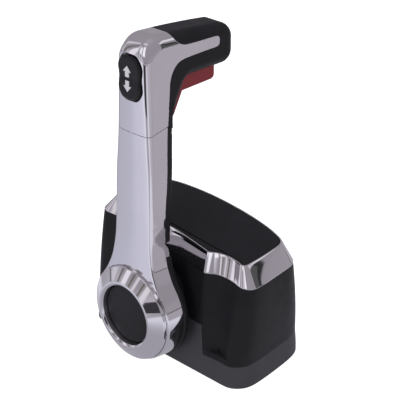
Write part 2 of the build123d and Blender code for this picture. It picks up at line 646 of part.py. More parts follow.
DOME_R = (20.6 ** 2 + 1.7 ** 2) / (2 * 1.7)
with BuildPart() as throttle_only_button:
    with BuildSketch(Plane.YZ):
        with BuildLine():
            Polyline((CAP_DOME_Y, SHAFT_Z), (-71.4, SHAFT_Z), (-71.4, SHAFT_Z + 19.6), (-63.8, SHAFT_Z + 19.6),
                     (-63.8, SHAFT_Z + 24.1), (-64.7, SHAFT_Z + 24.1), (-64.7, SHAFT_Z + CAP_R), (-70.6, SHAFT_Z + CAP_R),
                     (CAP_DOME_Y + 1.7, SHAFT_Z + 20.6))
            ThreePointArc((CAP_DOME_Y + 1.7, SHAFT_Z + 20.6),
                          (CAP_DOME_Y + DOME_R - sqrt(DOME_R ** 2 - 10.3 ** 2), SHAFT_Z + 10.3), (CAP_DOME_Y, SHAFT_Z))
        make_face()
    revolve(axis=Axis((0, 0, SHAFT_Z), (0, 1, 0)))
save(throttle_only_button.part, "throttle_only_button", (0.05, 0.05, 0.06))

with BuildPart() as button_spring:
    add(disc(-71.3, -58.6, 14.5))
    add(disc(-72, -58, 13.1), mode=Mode.SUBTRACT)
save(button_spring.part, "button_spring", (0.6, 0.6, 0.62))

with BuildPart() as lever_washer:
    add(disc(-62.0, -60.6, 11.0))
    add(disc(-63, -60, 4.2), mode=Mode.SUBTRACT)
    add(disc(-60.6, -58.55, 11.0))
    add(disc(-60.6, -58, 7.1), mode=Mode.SUBTRACT)
save(lever_washer.part, "lever_washer", (0.6, 0.6, 0.62))

with BuildPart() as lever_bolt:
    with BuildSketch(Plane.XZ.offset(62.05)):
        with Locations((0, SHAFT_Z)):
            RegularPolygon(6.9, 6)
    extrude(amount=4.2)
    add(disc(-62.05, -47.0, 2.55))
    add(disc(-62.05, -60.65, 4.0))
save(lever_bolt.part, "lever_bolt", (0.6, 0.6, 0.62))

with BuildPart() as arm_back_strip:
    with BuildSketch(Plane.YZ.offset(-14.0)):
        with BuildLine():
            Polyline((-45.6, SEAM_Z - 0.1), (-47.7, 150), (-50.4, 123), (-51.6, 104), (-52.1, 96),
                     (-49.0, 96), (-48.5, 104), (-47.2, 123), (-44.5, 150), (-42.3, SEAM_Z - 0.1), close=True)
        make_face()
    extrude(amount=28.0)
    fillet(arm_back_strip.faces().sort_by(Axis.Z)[0].edges().filter_by(Axis.X).sort_by(Axis.Y)[-1:], 1.4)
save(arm_back_strip.part, "arm_back_strip", (0.08, 0.08, 0.09))


# ---------------------------------------------------------------- head and grip
def head_envelope():
    """Outer form of the bright head and the black grip together."""
    with BuildPart() as env:
        # side view
        with BuildSketch(Plane.YZ.offset(-20)):
            with BuildLine():
                Polyline((-42.3, SEAM_Z), (-62.4, SEAM_Z), (-62.2, 220.5))
                ThreePointArc((-62.2, 220.5), (-56.6, 234.4), (-43.5, GRIP_TOP_Z))
                Line((-43.5, GRIP_TOP_Z), (9.5, GRIP_TOP_Z - 53 * GRIP_SLOPE))
                ThreePointArc((9.5, GRIP_TOP_Z - 53 * GRIP_SLOPE), (16.2, 233.0), (GRIP_END_Y, 226.8))
                Line((GRIP_END_Y, 226.8), (GRIP_END_Y, 214.0))
                ThreePointArc((GRIP_END_Y, 214.0), (17.0, 209.4), (12.4, GRIP_BOTTOM_Z))
                Polyline((12.4, GRIP_BOTTOM_Z), (-24.0, GRIP_BOTTOM_Z), (-27.4, 203.6), (-38.9, 181.5), (-42.3, SEAM_Z))
            make_face()
        extrude(amount=40)
        # front view: widening towards the seam, rounded along the top
        with BuildSketch(Plane(origin=(0, -43.5, GRIP_TOP_Z), x_dir=(1, 0, 0), z_dir=(0, -1, GRIP_SLOPE))):
            with BuildLine():
                h = GRIP_TOP_Z
                Polyline((-5.8, 0), (5.8, 0))
                ThreePointArc((5.8, 0), (12.0, -2.6), (GRIP_HALF_W, -8.8))
                Polyline((GRIP_HALF_W, -8.8), (GRIP_HALF_W + 0.1, 208 - h), (15.3, 190 - h), (15.9, SEAM_Z - 6 - h),
                         (-15.9, SEAM_Z - 6 - h), (-15.3, 190 - h), (-GRIP_HALF_W - 0.1, 208 - h), (-GRIP_HALF_W, -8.8))
                ThreePointArc((-GRIP_HALF_W, -8.8), (-12.0, -2.6), (-5.8, 0))
            make_face()
        extrude(amount=100, both=True, mode=Mode.INTERSECT)
        # plan view: crowned front, rounded front corners and free end
        with BuildSketch(Plane.XY.offset(170)):
            with BuildLine():
                w = 16.2
                Polyline((w, GRIP_END_Y - 20), (w, -59.9))
                ThreePointArc((w, -59.9), (w - 0.8, -61.6), (w - 2.6, -62.4))
                ThreePointArc((w - 2.6, -62.4), (0, -63.8), (-w + 2.6, -62.4))
                ThreePointArc((-w + 2.6, -62.4), (-w + 0.8, -61.6), (-w, -59.9))
                Polyline((-w, -59.9), (-w, GRIP_END_Y - 20), (-GRIP_HALF_W - 0.2, GRIP_END_Y - 18), (-GRIP_HALF_W, GRIP_END_Y - 8))
                ThreePointArc((-GRIP_HALF_W, GRIP_END_Y - 8), (-GRIP_HALF_W + 2.4, GRIP_END_Y - 2.4), (-GRIP_HALF_W + 8, GRIP_END_Y + 0.01))
                Line((-GRIP_HALF_W + 8, GRIP_END_Y + 0.01), (GRIP_HALF_W - 8, GRIP_END_Y + 0.01))
                ThreePointArc((GRIP_HALF_W - 8, GRIP_END_Y + 0.01), (GRIP_HALF_W - 2.4, GRIP_END_Y - 2.4), (GRIP_HALF_W, GRIP_END_Y - 8))
                Polyline((GRIP_HALF_W, GRIP_END_Y - 8), (GRIP_HALF_W + 0.2, GRIP_END_Y - 18), (w, GRIP_END_Y - 20))
            make_face()
        extrude(amount=90, mode=Mode.INTERSECT)
    return env.part


HEAD_BOUND = [(-37.5, 245), (-36.7, 237.5), (-34.6, 235.2), (-33.0, 231.9), (-33.0, 221.6), (-35.6, 220.4),
              (-37.8, 218.6), (-39.9, 216.2), (-41.1, 213.8), (-42.0, 210.8), (-42.3, 207.9), (-42.9, 200), (-44.1, 188), (-45.7, SEAM_Z - 1)]
TONGUE = [(-34.5, 235.1), (-32.6, 233.4), (-30.6, 232.0), (-27.6, 231.3), (0.6, 230.3), (2.8, 229.6), (3.5, 228.4), (3.5, 224.6), (2.7, 223.2),
          (0.6, 222.6), (-27.7, 222.0), (-33.2, 221.5), (-34.5, 221.0)]
envelope = head_envelope()

with BuildPart() as head_zone:
    with BuildSketch(Plane.YZ.offset(-25)):
        with BuildLine():
            Polyline(*(HEAD_BOUND + [(-75, SEAM_Z - 1), (-75, 245)]), close=True)
        make_face()
    extrude(amount=50)
with BuildPart() as tongue_zone:
    with BuildSketch(Plane.YZ.offset(-25)):
        with BuildLine():
            Polyline(*TONGUE, close=True)
        make_face()
    extrude(amount=50)
    add(block(-12.9, 12.9, -50, 10, 200, 250), mode=Mode.SUBTRACT)

ROCKER_HALF = [(0, 15.6), (5.6, 15.4), (9.0, 12.4), (11.2, 7.9), (10.9, 4.5), (10.1, 0), (10.9, -4.5), (11.2, -7.9),
               (9.0, -12.4), (5.6, -15.4), (0, -15.6)]


def rocker_outline(grow, y):
    """Dog-bone outline of the rocker, grown outwards, as a flat face at the given y."""
    plane = Plane(origin=(0, y, ROCKER_Z), x_dir=(1, 0, 0), z_dir=(0, -1, 0))
    pts = []
    for x, z in ROCKER_HALF[1:-1]:
        n = sqrt(x * x + z * z)
        pts.append((x + grow * x / n, z + grow * z / n))
    loop = pts + [(-x, z) for x, z in reversed(pts)]
    with BuildSketch(plane) as flat:
        with BuildLine():
            Polyline(*loop, close=True)
        make_face()
        fillet(flat.vertices(), 1.3)
    return flat.sketch.face()


with BuildPart() as lever_head:
    add(envelope)
    add(head_zone.part, mode=Mode.INTERSECT)
with BuildPart() as tongues:
    add(envelope)
    add(tongue_zone.part, mode=Mode.INTERSECT)
with BuildPart() as lever_head_whole:
    add(lever_head.part)
    add(tongues.part)
    # rocker pocket, switch chamber, rod channel
    extrude(rocker_outline(0.9, -56.4), amount=12, mode=Mode.SUBTRACT)
    add(block(-9.5, 9.5, -56.5, -46.0, 201, 229), mode=Mode.SUBTRACT)
    add(block(-4.5, 4.5, -59.2, -46.0, 170, 203), mode=Mode.SUBTRACT)
    add(block(-3.4, 3.4, -56, -40, 184.5, 203), mode=Mode.SUBTRACT)

with BuildPart() as grip:
    add(envelope)
    add(head_zone.part, mode=Mode.SUBTRACT)
    add(tongue_zone.part, mode=Mode.SUBTRACT)
    # slot for the trigger
    add(block(-8.9, 8.9, -31.5, 6.0, 200, 216.4), mode=Mode.SUBTRACT)
    with BuildSketch(Plane.YZ.offset(-8.9)):
        with BuildLine():
            Polyline((-24, 206), (-24, 176), (-44.6, 176), (-41.9, 181.5), (-32.7, 200), (-32.7, 212), (-24, 212), close=True)
        make_face()
    extrude(amount=17.8, mode=Mode.SUBTRACT)
    add(block(-3.4, 3.4, -50, -28, 184.5, 203), mode=Mode.SUBTRACT)
save(grip.part, "grip", (0.07, 0.07, 0.08))

# ---------------------------------------------------------------- neutral lock trigger
with BuildPart() as neutral_lock_trigger:
    with BuildSketch(Plane.YZ.offset(-8.2)):
        with BuildLine():
            Polyline((-25.2, 197.6), (0.2, 198.3), (3.2, 199.8), (4.8, 203.0), (4.9, 210.8), (-26.6, 210.8), (-28.0, 203.6),
                     (-38.2, 183.2), (-37.4, 182.2), (-34.8, 181.6), (-26.4, 196.6), close=True)
        make_face()
    extrude(amount=16.4)
    add(block(-2.9, 2.9, -57.0, -28.5, 190.4, 196.0))
    add(post(0, -55.6, 190, 197, 1.5), mode=Mode.SUBTRACT)
save(neutral_lock_trigger.part, "neutral_lock_trigger", (0.45, 0.12, 0.14))

with BuildPart() as pull_rod:
    add(post(0, -55.6, 74.1, 195.9, 1.45))
save(pull_rod.part, "pull_rod", (0.7, 0.7, 0.72))

with BuildPart() as lock_pin:
    add(block(-2.6, 2.6, -57.8, -47.9, 70.0, 74.0))
    add(block(-2.6, 2.6, -51.0, -47.9, 61.3, 70.0))
save(lock_pin.part, "lock_pin", (0.6, 0.6, 0.62))

with BuildPart() as trigger_spring:
    add(post(0, -52.2, 196.1, 203.4, 2.8))
    add(post(0, -52.2, 195, 204, 2.0), mode=Mode.SUBTRACT)
save(trigger_spring.part, "trigger_spring", (0.6, 0.6, 0.62))

# ---------------------------------------------------------------- trim rocker
with BuildPart() as trim_rocker:
    extrude(rocker_outline(0.0, -60.5), amount=4.9)
    chamfer(trim_rocker.faces().sort_by(Axis.Y)[0].edges(), 0.6)
    add(block(-4.0, 4.0, -60.6, -56.6, ROCKER_Z - 2.2, ROCKER_Z + 2.2))
    add(rod_x(-5, 5, ROCKER_PIVOT_Y, ROCKER_Z, 1.05), mode=Mode.SUBTRACT)
save(trim_rocker.part, "trim_rocker", (0.06, 0.06, 0.07))

with BuildPart() as rocker_pin:
    add(rod_x(-8.9, 8.9, ROCKER_PIVOT_Y, ROCKER_Z, 1.0))
save(rocker_pin.part, "rocker_pin", (0.7, 0.7, 0.72))

with BuildPart() as rocker_arrows:
    for s in (1, -1):
        with BuildSketch(Plane(origin=(0, -65.42, ROCKER_Z), x_dir=(1, 0, 0), z_dir=(0, -1, 0))):
            with BuildLine():
                Polyline(*[(x, s * z) for x, z in ((0, 10.6), (-3.6, 6.2), (-1.7, 6.2), (-1.7, 2.2), (1.7, 2.2), (1.7, 6.2), (3.6, 6.2))], close=True)
            make_face()
        extrude(amount=0.25)
save(rocker_arrows.part, "rocker_arrows", (0.75, 0.75, 0.77))

with BuildPart() as rocker_switch:
    add(block(-9.0, 9.0, -55.2, -47.0, 203.5, 228.5))
    add(block(-9.0, -5.2, -60.1, -55.2, ROCKER_Z - 1.8, ROCKER_Z + 1.8))
    add(block(5.2, 9.0, -60.1, -55.2, ROCKER_Z - 1.8, ROCKER_Z + 1.8))
    add(rod_x(-10, 10, ROCKER_PIVOT_Y, ROCKER_Z, 1.02), mode=Mode.SUBTRACT)
save(rocker_switch.part, "rocker_switch", (0.1, 0.1, 0.1))

with BuildPart() as head_dowels:
    for dx in (-9.5, 9.5):
        add(post(dx, -54.5, SEAM_Z - 11.8, SEAM_Z + 11.8, 2.0))
with BuildPart() as lever_head_final:
    add(lever_head_whole.part)
    for dx in (-9.5, 9.5):
        add(post(dx, -54.5, SEAM_Z - 1, SEAM_Z + 12, 2.02), mode=Mode.SUBTRACT)
save(head_dowels.part, "head_dowels", (0.6, 0.6, 0.62))
save(lever_head_final.part, "lever_head", (0.8, 0.8, 0.84))
print("lever done")
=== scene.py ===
import json
import math

import bmesh
import bpy
import numpy as np
from mathutils import Matrix, Vector


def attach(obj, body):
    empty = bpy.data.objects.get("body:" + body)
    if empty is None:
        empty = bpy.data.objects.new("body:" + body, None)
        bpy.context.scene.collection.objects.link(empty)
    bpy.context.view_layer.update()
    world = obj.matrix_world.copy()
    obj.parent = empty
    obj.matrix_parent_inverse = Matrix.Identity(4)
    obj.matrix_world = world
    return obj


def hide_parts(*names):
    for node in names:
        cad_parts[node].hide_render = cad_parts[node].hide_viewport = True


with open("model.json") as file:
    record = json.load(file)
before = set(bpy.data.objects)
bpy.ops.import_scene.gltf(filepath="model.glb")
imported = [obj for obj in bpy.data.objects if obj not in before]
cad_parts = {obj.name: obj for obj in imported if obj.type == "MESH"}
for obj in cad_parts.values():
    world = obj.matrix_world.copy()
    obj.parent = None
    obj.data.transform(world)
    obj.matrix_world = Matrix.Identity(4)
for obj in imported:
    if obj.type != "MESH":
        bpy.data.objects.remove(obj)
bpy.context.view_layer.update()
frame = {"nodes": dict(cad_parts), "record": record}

MM = 0.001
SHAFT_Z = 44.8
SEAM_Z = 178.0
FINE = 0.42      # cell of the meshed solids, mm


# ------------------------------------------------------------------ materials
def new_material(name):
    m = bpy.data.materials.new(name)
    m.use_nodes = True
    nt = m.node_tree
    return m, nt, nt.nodes["Principled BSDF"]


def coords(nt, scale=1.0):
    tc = nt.nodes.new("ShaderNodeTexCoord")
    mp = nt.nodes.new("ShaderNodeMapping")
    mp.inputs["Scale"].default_value = (scale, scale, scale)
    nt.links.new(tc.outputs["Object"], mp.inputs["Vector"])
    return mp.outputs["Vector"]


def noise(nt, vec, scale, detail=2.0, rough=0.5):
    n = nt.nodes.new("ShaderNodeTexNoise")
    n.inputs["Scale"].default_value = scale
    n.inputs["Detail"].default_value = detail
    n.inputs["Roughness"].default_value = rough
    nt.links.new(vec, n.inputs["Vector"])
    return n.outputs["Fac"]


def remap(nt, value, lo, hi, a=0.3, b=0.7):
    r = nt.nodes.new("ShaderNodeMapRange")
    r.inputs["From Min"].default_value = a
    r.inputs["From Max"].default_value = b
    r.inputs["To Min"].default_value = lo
    r.inputs["To Max"].default_value = hi
    nt.links.new(value, r.inputs["Value"])
    return r.outputs["Result"]


def bump(nt, bsdf, height, strength, distance):
    b = nt.nodes.new("ShaderNodeBump")
    b.inputs["Strength"].default_value = strength
    b.inputs["Distance"].default_value = distance
    nt.links.new(height, b.inputs["Height"])
    nt.links.new(b.outputs["Normal"], bsdf.inputs["Normal"])


def tint(nt, bsdf, fac, dark, light):
    mx = nt.nodes.new("ShaderNodeMix")
    mx.data_type = "RGBA"
    mx.inputs[6].default_value = (*dark, 1)
    mx.inputs[7].default_value = (*light, 1)
    nt.links.new(fac, mx.inputs[0])
    nt.links.new(mx.outputs[2], bsdf.inputs["Base Color"])


def plastic(name, dark, light, rough, spread, grain, depth, coat=0.0, spec=0.5):
    """Moulded plastic: fine grain in the surface, faint cloudiness in colour and gloss."""
    m, nt, p = new_material(name)
    v = coords(nt)
    cloud = noise(nt, v, 38.0, 4.0, 0.6)
    tint(nt, p, remap(nt, cloud, 0, 1), dark, light)
    fine = noise(nt, v, grain, 2.0, 0.6)
    wear = noise(nt, v, 140.0, 3.0, 0.55)
    nt.links.new(remap(nt, wear, rough - spread, rough + spread), p.inputs["Roughness"])
    p.inputs["Specular IOR Level"].default_value = spec
    if coat:
        p.inputs["Coat Weight"].default_value = coat
        p.inputs["Coat Roughness"].default_value = 0.25
    bump(nt, p, fine, 0.35, depth)
    return m


def metal(name, dark, light, rough, spread, grain=900.0, depth=0.00001, stretch=None):
    """Metal: colour and gloss vary faintly, with a fine surface texture."""
    m, nt, p = new_material(name)
    v = coords(nt)
    p.inputs["Metallic"].default_value = 1.0
    cloud = noise(nt, v, 55.0, 4.0, 0.55)
    tint(nt, p, remap(nt, cloud, 0, 1), dark, light)
    wear = noise(nt, v, 210.0, 4.0, 0.6)
    nt.links.new(remap(nt, wear, max(0.0, rough - spread), rough + spread), p.inputs["Roughness"])
    if stretch is not None:
        mp = nt.nodes.new("ShaderNodeMapping")
        mp.inputs["Scale"].default_value = stretch
        nt.links.new(v, mp.inputs["Vector"])
        fine = noise(nt, mp.outputs["Vector"], grain, 2.0, 0.6)
    else:
        fine = noise(nt, v, grain, 2.0, 0.6)
    bump(nt, p, fine, 0.25, depth)
    return m


def chrome(name, dark, light, rough):
    """Polished plating: a mirror with a very faint haze and long, shallow unevenness."""
    m, nt, p = new_material(name)
    v = coords(nt)
    p.inputs["Metallic"].default_value = 1.0
    cloud = noise(nt, v, 25.0, 3.0, 0.5)
    tint(nt, p, remap(nt, cloud, 0, 1), dark, light)
    haze = noise(nt, v, 160.0, 4.0, 0.6)
    nt.links.new(remap(nt, haze, rough * 0.6, rough * 1.5), p.inputs["Roughness"])
    wave = noise(nt, v, 22.0, 1.0, 0.4)
    bump(nt, p, wave, 0.04, 0.0004)
    return m


M = {}
M["bright_chrome"] = chrome("bright_chrome", (0.72, 0.705, 0.735), (0.76, 0.745, 0.78), 0.045)
M["soft_black"] = plastic("soft_black", (0.0085, 0.0082, 0.0100), (0.0110, 0.0106, 0.0128), 0.50, 0.04, 2600.0, 0.00004, spec=0.14)
M["black_plastic"] = plastic("black_plastic", (0.0075, 0.0072, 0.0088), (0.0100, 0.0096, 0.0115), 0.36, 0.05, 2200.0, 0.00002, spec=0.2)
M["skirt_grey"] = plastic("skirt_grey", (0.038, 0.037, 0.043), (0.043, 0.042, 0.049), 0.52, 0.04, 2400.0, 0.00005, spec=0.14)
M["seal_rubber"] = plastic("seal_rubber", (0.018, 0.018, 0.018), (0.028, 0.027, 0.027), 0.7, 0.06, 1500.0, 0.00005)
M["trigger_red"] = plastic("trigger_red", (0.165, 0.0105, 0.016), (0.192, 0.014, 0.0205), 0.46, 0.05, 1800.0, 0.00002, spec=0.3)
M["screw_black"] = metal("screw_black", (0.030, 0.030, 0.033), (0.045, 0.045, 0.048), 0.45, 0.06)
M["arrow_grey"] = plastic("arrow_grey", (0.46, 0.45, 0.48), (0.52, 0.51, 0.54), 0.45, 0.05, 1800.0, 0.00001)
M["steel_screws"] = metal("steel_screws", (0.50, 0.50, 0.51), (0.62, 0.62, 0.63), 0.28, 0.08)
M["bush_bronze"] = metal("bush_bronze", (0.50, 0.34, 0.17), (0.60, 0.43, 0.23), 0.30, 0.06)
M["plated_steel"] = metal("plated_steel", (0.46, 0.46, 0.44), (0.60, 0.60, 0.57), 0.33, 0.08, 1200.0, 0.00002, (1, 12, 1))
M["gear_metal"] = metal("gear_metal", (0.50, 0.48, 0.42), (0.62, 0.60, 0.54), 0.35, 0.08)
M["detent_block"] = plastic("detent_block", (0.26, 0.26, 0.28), (0.32, 0.32, 0.34), 0.5, 0.05, 1500.0, 0.00003)
M["friction_lining"] = plastic("friction_lining", (0.09, 0.055, 0.03), (0.16, 0.10, 0.06), 0.8, 0.06, 1300.0, 0.0001)
M["switch_blue"] = plastic("switch_blue", (0.03, 0.05, 0.22), (0.05, 0.08, 0.30), 0.3, 0.05, 1500.0, 0.00001)

slot_of = {s["node"]: s["material_slot"] for s in frame["record"]["subparts"]}
for node, obj in frame["nodes"].items():
    obj.data.materials.clear()
    obj.data.materials.append(M["screw_black" if node == "cover_screws" else slot_of[node]])


# ------------------------------------------------------------------ mesh helpers
def place(name, verts, faces, body, slot, nodes=(), normals=None, smooth=True):
    """One piece from points in mm."""
    me = bpy.data.meshes.new(name)
    me.from_pydata((np.asarray(verts, float) * MM).tolist(), [], [tuple(int(i) for i in f) for f in faces])
    me.validate()
    if smooth:
        me.shade_smooth()
    ob = bpy.data.objects.new(name, me)
    bpy.context.scene.collection.objects.link(ob)
    me.materials.append(M[slot])
    if normals is not None:
        me.normals_split_custom_set_from_vertices(normals.tolist())
    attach(ob, body)
    if nodes:
        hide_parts(*nodes)
    return ob


def weighted(ob, bevel=0.0, segments=2, angle=40):
    if bevel:
        b = ob.modifiers.new("edge", "BEVEL")
        b.width = bevel * MM
        b.segments = segments
        b.limit_method = "ANGLE"
        b.angle_limit = math.radians(angle)
        b.harden_normals = False
        b.miter_outer = "MITER_ARC"
    w = ob.modifiers.new("weights", "WEIGHTED_NORMAL")
    w.keep_sharp = True
    return ob


def rows_to_faces(nr, nc, closed_c=True, closed_r=False, base=0, flip=False):
    f = []
    for i in range(nr if closed_r else nr - 1):
        a, b = i * nc, ((i + 1) % nr) * nc
        for j in range(nc if closed_c else nc - 1):
            k = (j + 1) % nc
            q = (base + a + j, base + a + k, base + b + k, base + b + j)
            f.append(q[::-1] if flip else q)
    return f


def lathe(name, profile, body, slot, nodes=(), seg=160, x=0.0, z=SHAFT_Z, closed=True):
    """Turns (radius, y) points about the shaft's axis. Points at radius 0 close on the axis."""
    verts, faces, rings = [], [], []
    for r, y in profile:
        if r < 1e-6:
            rings.append([len(verts)])
            verts.append((x, y, z))
        else:
            s = len(verts)
            rings.append(list(range(s, s + seg)))
            for i in range(seg):
                a = 2 * math.pi * i / seg
                verts.append((x + r * math.cos(a), y, z + r * math.sin(a)))
    n = len(rings)
    for i in range(n if closed else n - 1):
        A, B = rings[i], rings[(i + 1) % n]
        if len(A) == 1 and len(B) == 1:
            continue
        for j in range(seg):
            k = (j + 1) % seg
            if len(A) == 1:
                faces.append((A[0], B[k], B[j]))
            elif len(B) == 1:
                faces.append((A[j], A[k], B[0]))
            else:
                faces.append((A[j], A[k], B[k], B[j]))
    ob = place(name, verts, faces, body, slot, nodes)
    fix_outward(ob)
    return ob


def fix_outward(ob):
    bm = bmesh.new()
    bm.from_mesh(ob.data)
    bmesh.ops.recalc_face_normals(bm, faces=bm.faces)
    bm.to_mesh(ob.data)
    bm.free()
    ob.data.shade_smooth()


def rounded(points, radii, steps=5):
    """Polyline with its inner corners rounded, for lathe profiles. The first and last points stay."""
    out = [points[0]]
    for i in range(1, len(points) - 1):
        p0, p1, p2 = (np.array(points[i + k], float) for k in (-1, 0, 1))
        r = radii[i] if isinstance(radii, (list, tuple)) else radii
        if r <= 0:
            out.append(tuple(p1))
            continue
        a, b = p0 - p1, p2 - p1
        la, lb = np.linalg.norm(a), np.linalg.norm(b)
        a, b = a / la, b / lb
        ang = math.acos(max(-1, min(1, float(a @ b))))
        d = min(r / math.tan(ang / 2), la * 0.49, lb * 0.49)
        rr = d * math.tan(ang / 2)
        c = p1 + (a + b) / np.linalg.norm(a + b) * (rr / math.sin(ang / 2))
        s, e = p1 + a * d - c, p1 + b * d - c
        for k in range(steps + 1):
            t = k / steps
            v = s * math.sin((1 - t) * (math.pi - ang)) + e * math.sin(t * (math.pi - ang)) if abs(math.sin(math.pi - ang)) > 1e-6 else s * (1 - t) + e * t
            v = v / np.linalg.norm(v) * rr
            out.append(tuple(c + v))
    out.append(points[-1])
    return out


# ------------------------------------------------------------------ solids from distance fields
def rmax(a, b, r):
    """Intersection of two solids with their common edge rounded to r."""
    return np.minimum(np.maximum(a, b), -r) + np.hypot(np.maximum(a + r, 0), np.maximum(b + r, 0))


def rmin(a, b, r):
    return -rmax(-a, -b, r)


def cut(a, b, r=0.3):
    return rmax(a, -b, r)


def spline(xs, ys):
    """Natural cubic spline through sorted knots, as a function and its slope."""
    xs, ys = np.array(xs, float), np.array(ys, float)
    n = len(xs)
    h = np.diff(xs)
    A = np.zeros((n, n))
    B = np.zeros(n)
    A[0, 0] = A[-1, -1] = 1
    for i in range(1, n - 1):
        A[i, i - 1], A[i, i], A[i, i + 1] = h[i - 1], 2 * (h[i - 1] + h[i]), h[i]
        B[i] = 6 * ((ys[i + 1] - ys[i]) / h[i] - (ys[i] - ys[i - 1]) / h[i - 1])
    m = np.linalg.solve(A, B)

    def f(x, d=0):
        x = np.asarray(x, float)
        xc = np.clip(x, xs[0], xs[-1])
        i = np.clip(np.searchsorted(xs, xc) - 1, 0, n - 2)
        t = xc - xs[i]
        b = (ys[i + 1] - ys[i]) / h[i] - h[i] * (2 * m[i] + m[i + 1]) / 6
        c, e = m[i] / 2, (m[i + 1] - m[i]) / (6 * h[i])
        s = b + 2 * c * t + 3 * e * t * t
        if d:
            return s
        return ys[i] + b * t + c * t * t + e * t ** 3 + (x - xc) * s
    return f


def gradient(f, P, e):
    g = np.empty_like(P)
    for k in range(3):
        D = np.zeros(3)
        D[k] = e
        g[:, k] = (f(*(P + D).T) - f(*(P - D).T)) / (2 * e)
    return g


def solid(name, f, lo, hi, body, slot, nodes=(), h=None, relax=2):
    """Meshes the solid where f < 0 and gives it the field's own normals."""
    h = h or FINE
    lo, hi = np.array(lo, float), np.array(hi, float)
    n = np.ceil((hi - lo) / h).astype(int) + 1
    ax = [lo[k] + h * np.arange(n[k]) for k in range(3)]
    X, Y, Z = ax[0][:, None, None], ax[1][None, :, None], ax[2][None, None, :]
    F = np.broadcast_to(f(X, Y, Z), tuple(n)).astype(np.float32)
    S = F < 0
    c = np.zeros(tuple(n - 1), np.int8)
    for i in (0, 1):
        for j in (0, 1):
            for k in (0, 1):
                c += S[i:n[0] - 1 + i, j:n[1] - 1 + j, k:n[2] - 1 + k]
    act = (c > 0) & (c < 8)
    I, J, K = np.nonzero(act)
    idx = -np.ones(tuple(n - 1), np.int64)
    idx[I, J, K] = np.arange(len(I))
    acc = np.zeros((len(I), 3))
    cnt = np.zeros(len(I))
    for a in range(3):
        o = [k for k in range(3) if k != a]
        for u in (0, 1):
            for v in (0, 1):
                d = [0, 0, 0]
                d[o[0]], d[o[1]] = u, v
                f0 = F[I + d[0], J + d[1], K + d[2]]
                d2 = list(d)
                d2[a] = 1
                f1 = F[I + d2[0], J + d2[1], K + d2[2]]
                hit = (f0 < 0) != (f1 < 0)
                t = np.where(hit, f0 / np.where(hit, f0 - f1, 1), 0)
                P = np.array(d, float)[None, :].repeat(len(I), 0)
                P[:, a] = t
                acc += P * hit[:, None]
                cnt += hit
    V = lo + h * (np.stack([I, J, K], 1) + acc / cnt[:, None])
    faces = []
    for a in range(3):
        b, c2 = [(1, 2), (2, 0), (0, 1)][a]
        sl0 = [slice(None)] * 3
        sl1 = [slice(None)] * 3
        sl0[a], sl1[a] = slice(0, n[a] - 1), slice(1, n[a])
        A0, A1 = S[tuple(sl0)], S[tuple(sl1)]
        E = np.argwhere(A0 != A1)
        keep = (E[:, b] > 0) & (E[:, c2] > 0) & (E[:, b] < n[b] - 1) & (E[:, c2] < n[c2] - 1)
        E = E[keep]
        inside = A0[E[:, 0], E[:, 1], E[:, 2]]

        def at(db, dc):
            q = E.copy()
            q[:, b] += db
            q[:, c2] += dc
            return idx[q[:, 0], q[:, 1], q[:, 2]]
        q = np.stack([at(-1, -1), at(0, -1), at(0, 0), at(-1, 0)], 1)
        q[~inside] = q[~inside][:, ::-1]
        faces.append(q)
    Fq = np.concatenate(faces)
    # neighbours, for an even spread of the points over the surface
    e = np.concatenate([Fq[:, [0, 1]], Fq[:, [1, 2]], Fq[:, [2, 3]], Fq[:, [3, 0]]])

    def project(V, steps):
        for _ in range(steps):
            g = gradient(f, V, 0.01)
            g2 = np.maximum((g * g).sum(1), 0.05)
            s = f(*V.T) / g2
            V = V - np.clip(s, -0.5 * h, 0.5 * h)[:, None] * g
        return V
    V = project(V, 2)
    for _ in range(relax):
        acc = np.zeros_like(V)
        cnt = np.zeros(len(V))
        np.add.at(acc, e[:, 0], V[e[:, 1]])
        np.add.at(acc, e[:, 1], V[e[:, 0]])
        np.add.at(cnt, e[:, 0], 1)
        np.add.at(cnt, e[:, 1], 1)
        N = gradient(f, V, 0.02)
        N /= np.maximum(np.linalg.norm(N, axis=1), 1e-9)[:, None]
        mv = 0.5 * (acc / cnt[:, None] - V)
        mv -= N * (mv * N).sum(1)[:, None]
        V = project(V + mv, 2)
    N = gradient(f, V, 0.03)
    N /= np.maximum(np.linalg.norm(N, axis=1), 1e-9)[:, None]
    return place(name, V, Fq, body, slot, nodes, normals=N)


# ------------------------------------------------------------------ lever outline
HUB_Z = 43.6
HUB_R = 36.8
RING_Z = 43.3
RING_R = 34.2
JOIN_Z = 65.5
half_w = spline([65.5, 71.5, 75, 80.4, 87.5, 97, 106, 118, 134, 150, 162, 176, 190, 207, 224, 241],
                [29.57, 25.75, 24.15, 21.95, 20.3, 19.0, 18.6, 18.3, 17.8, 17.2, 16.4, 15.7, 15.3, 14.85, 14.6, 14.5])
front_y = spline([44, 64, 78, 90, 100, 112, 134, 162, 190, 224, 245], [-66.5, -66.5, -66.1, -65.3, -64.6, -64.0, -63.5, -62.7, -62.3, -62.1, -62.0])
back_y = spline([64, 90, 100, 112, 123, 134, 162, 176, 190], [-52.7, -52.7, -52.15, -51.3, -50.6, -49.3, -46.9, -45.8, -44.7])


def side_field(x, z, grow=0.0, y=None):
    """Distance outside the lever's outline seen from the front: arm, flare and hub. The sides have draft low down."""
    draft = 0.0
    if y is not None:
        draft = np.clip((-53.0 - y) / 11.0, 0, 1.2) * np.interp(z, [40, 84, 97, 112, 125, 150], [0.9, 1.15, 1.1, 0.95, 0.5, 0.0])
    arm = (np.abs(x) - half_w(z)) / np.sqrt(1 + half_w(z, 1) ** 2)
    hub = np.hypot(x, z - HUB_Z) - HUB_R
    return np.where(z > JOIN_Z, arm, hub) - grow + draft


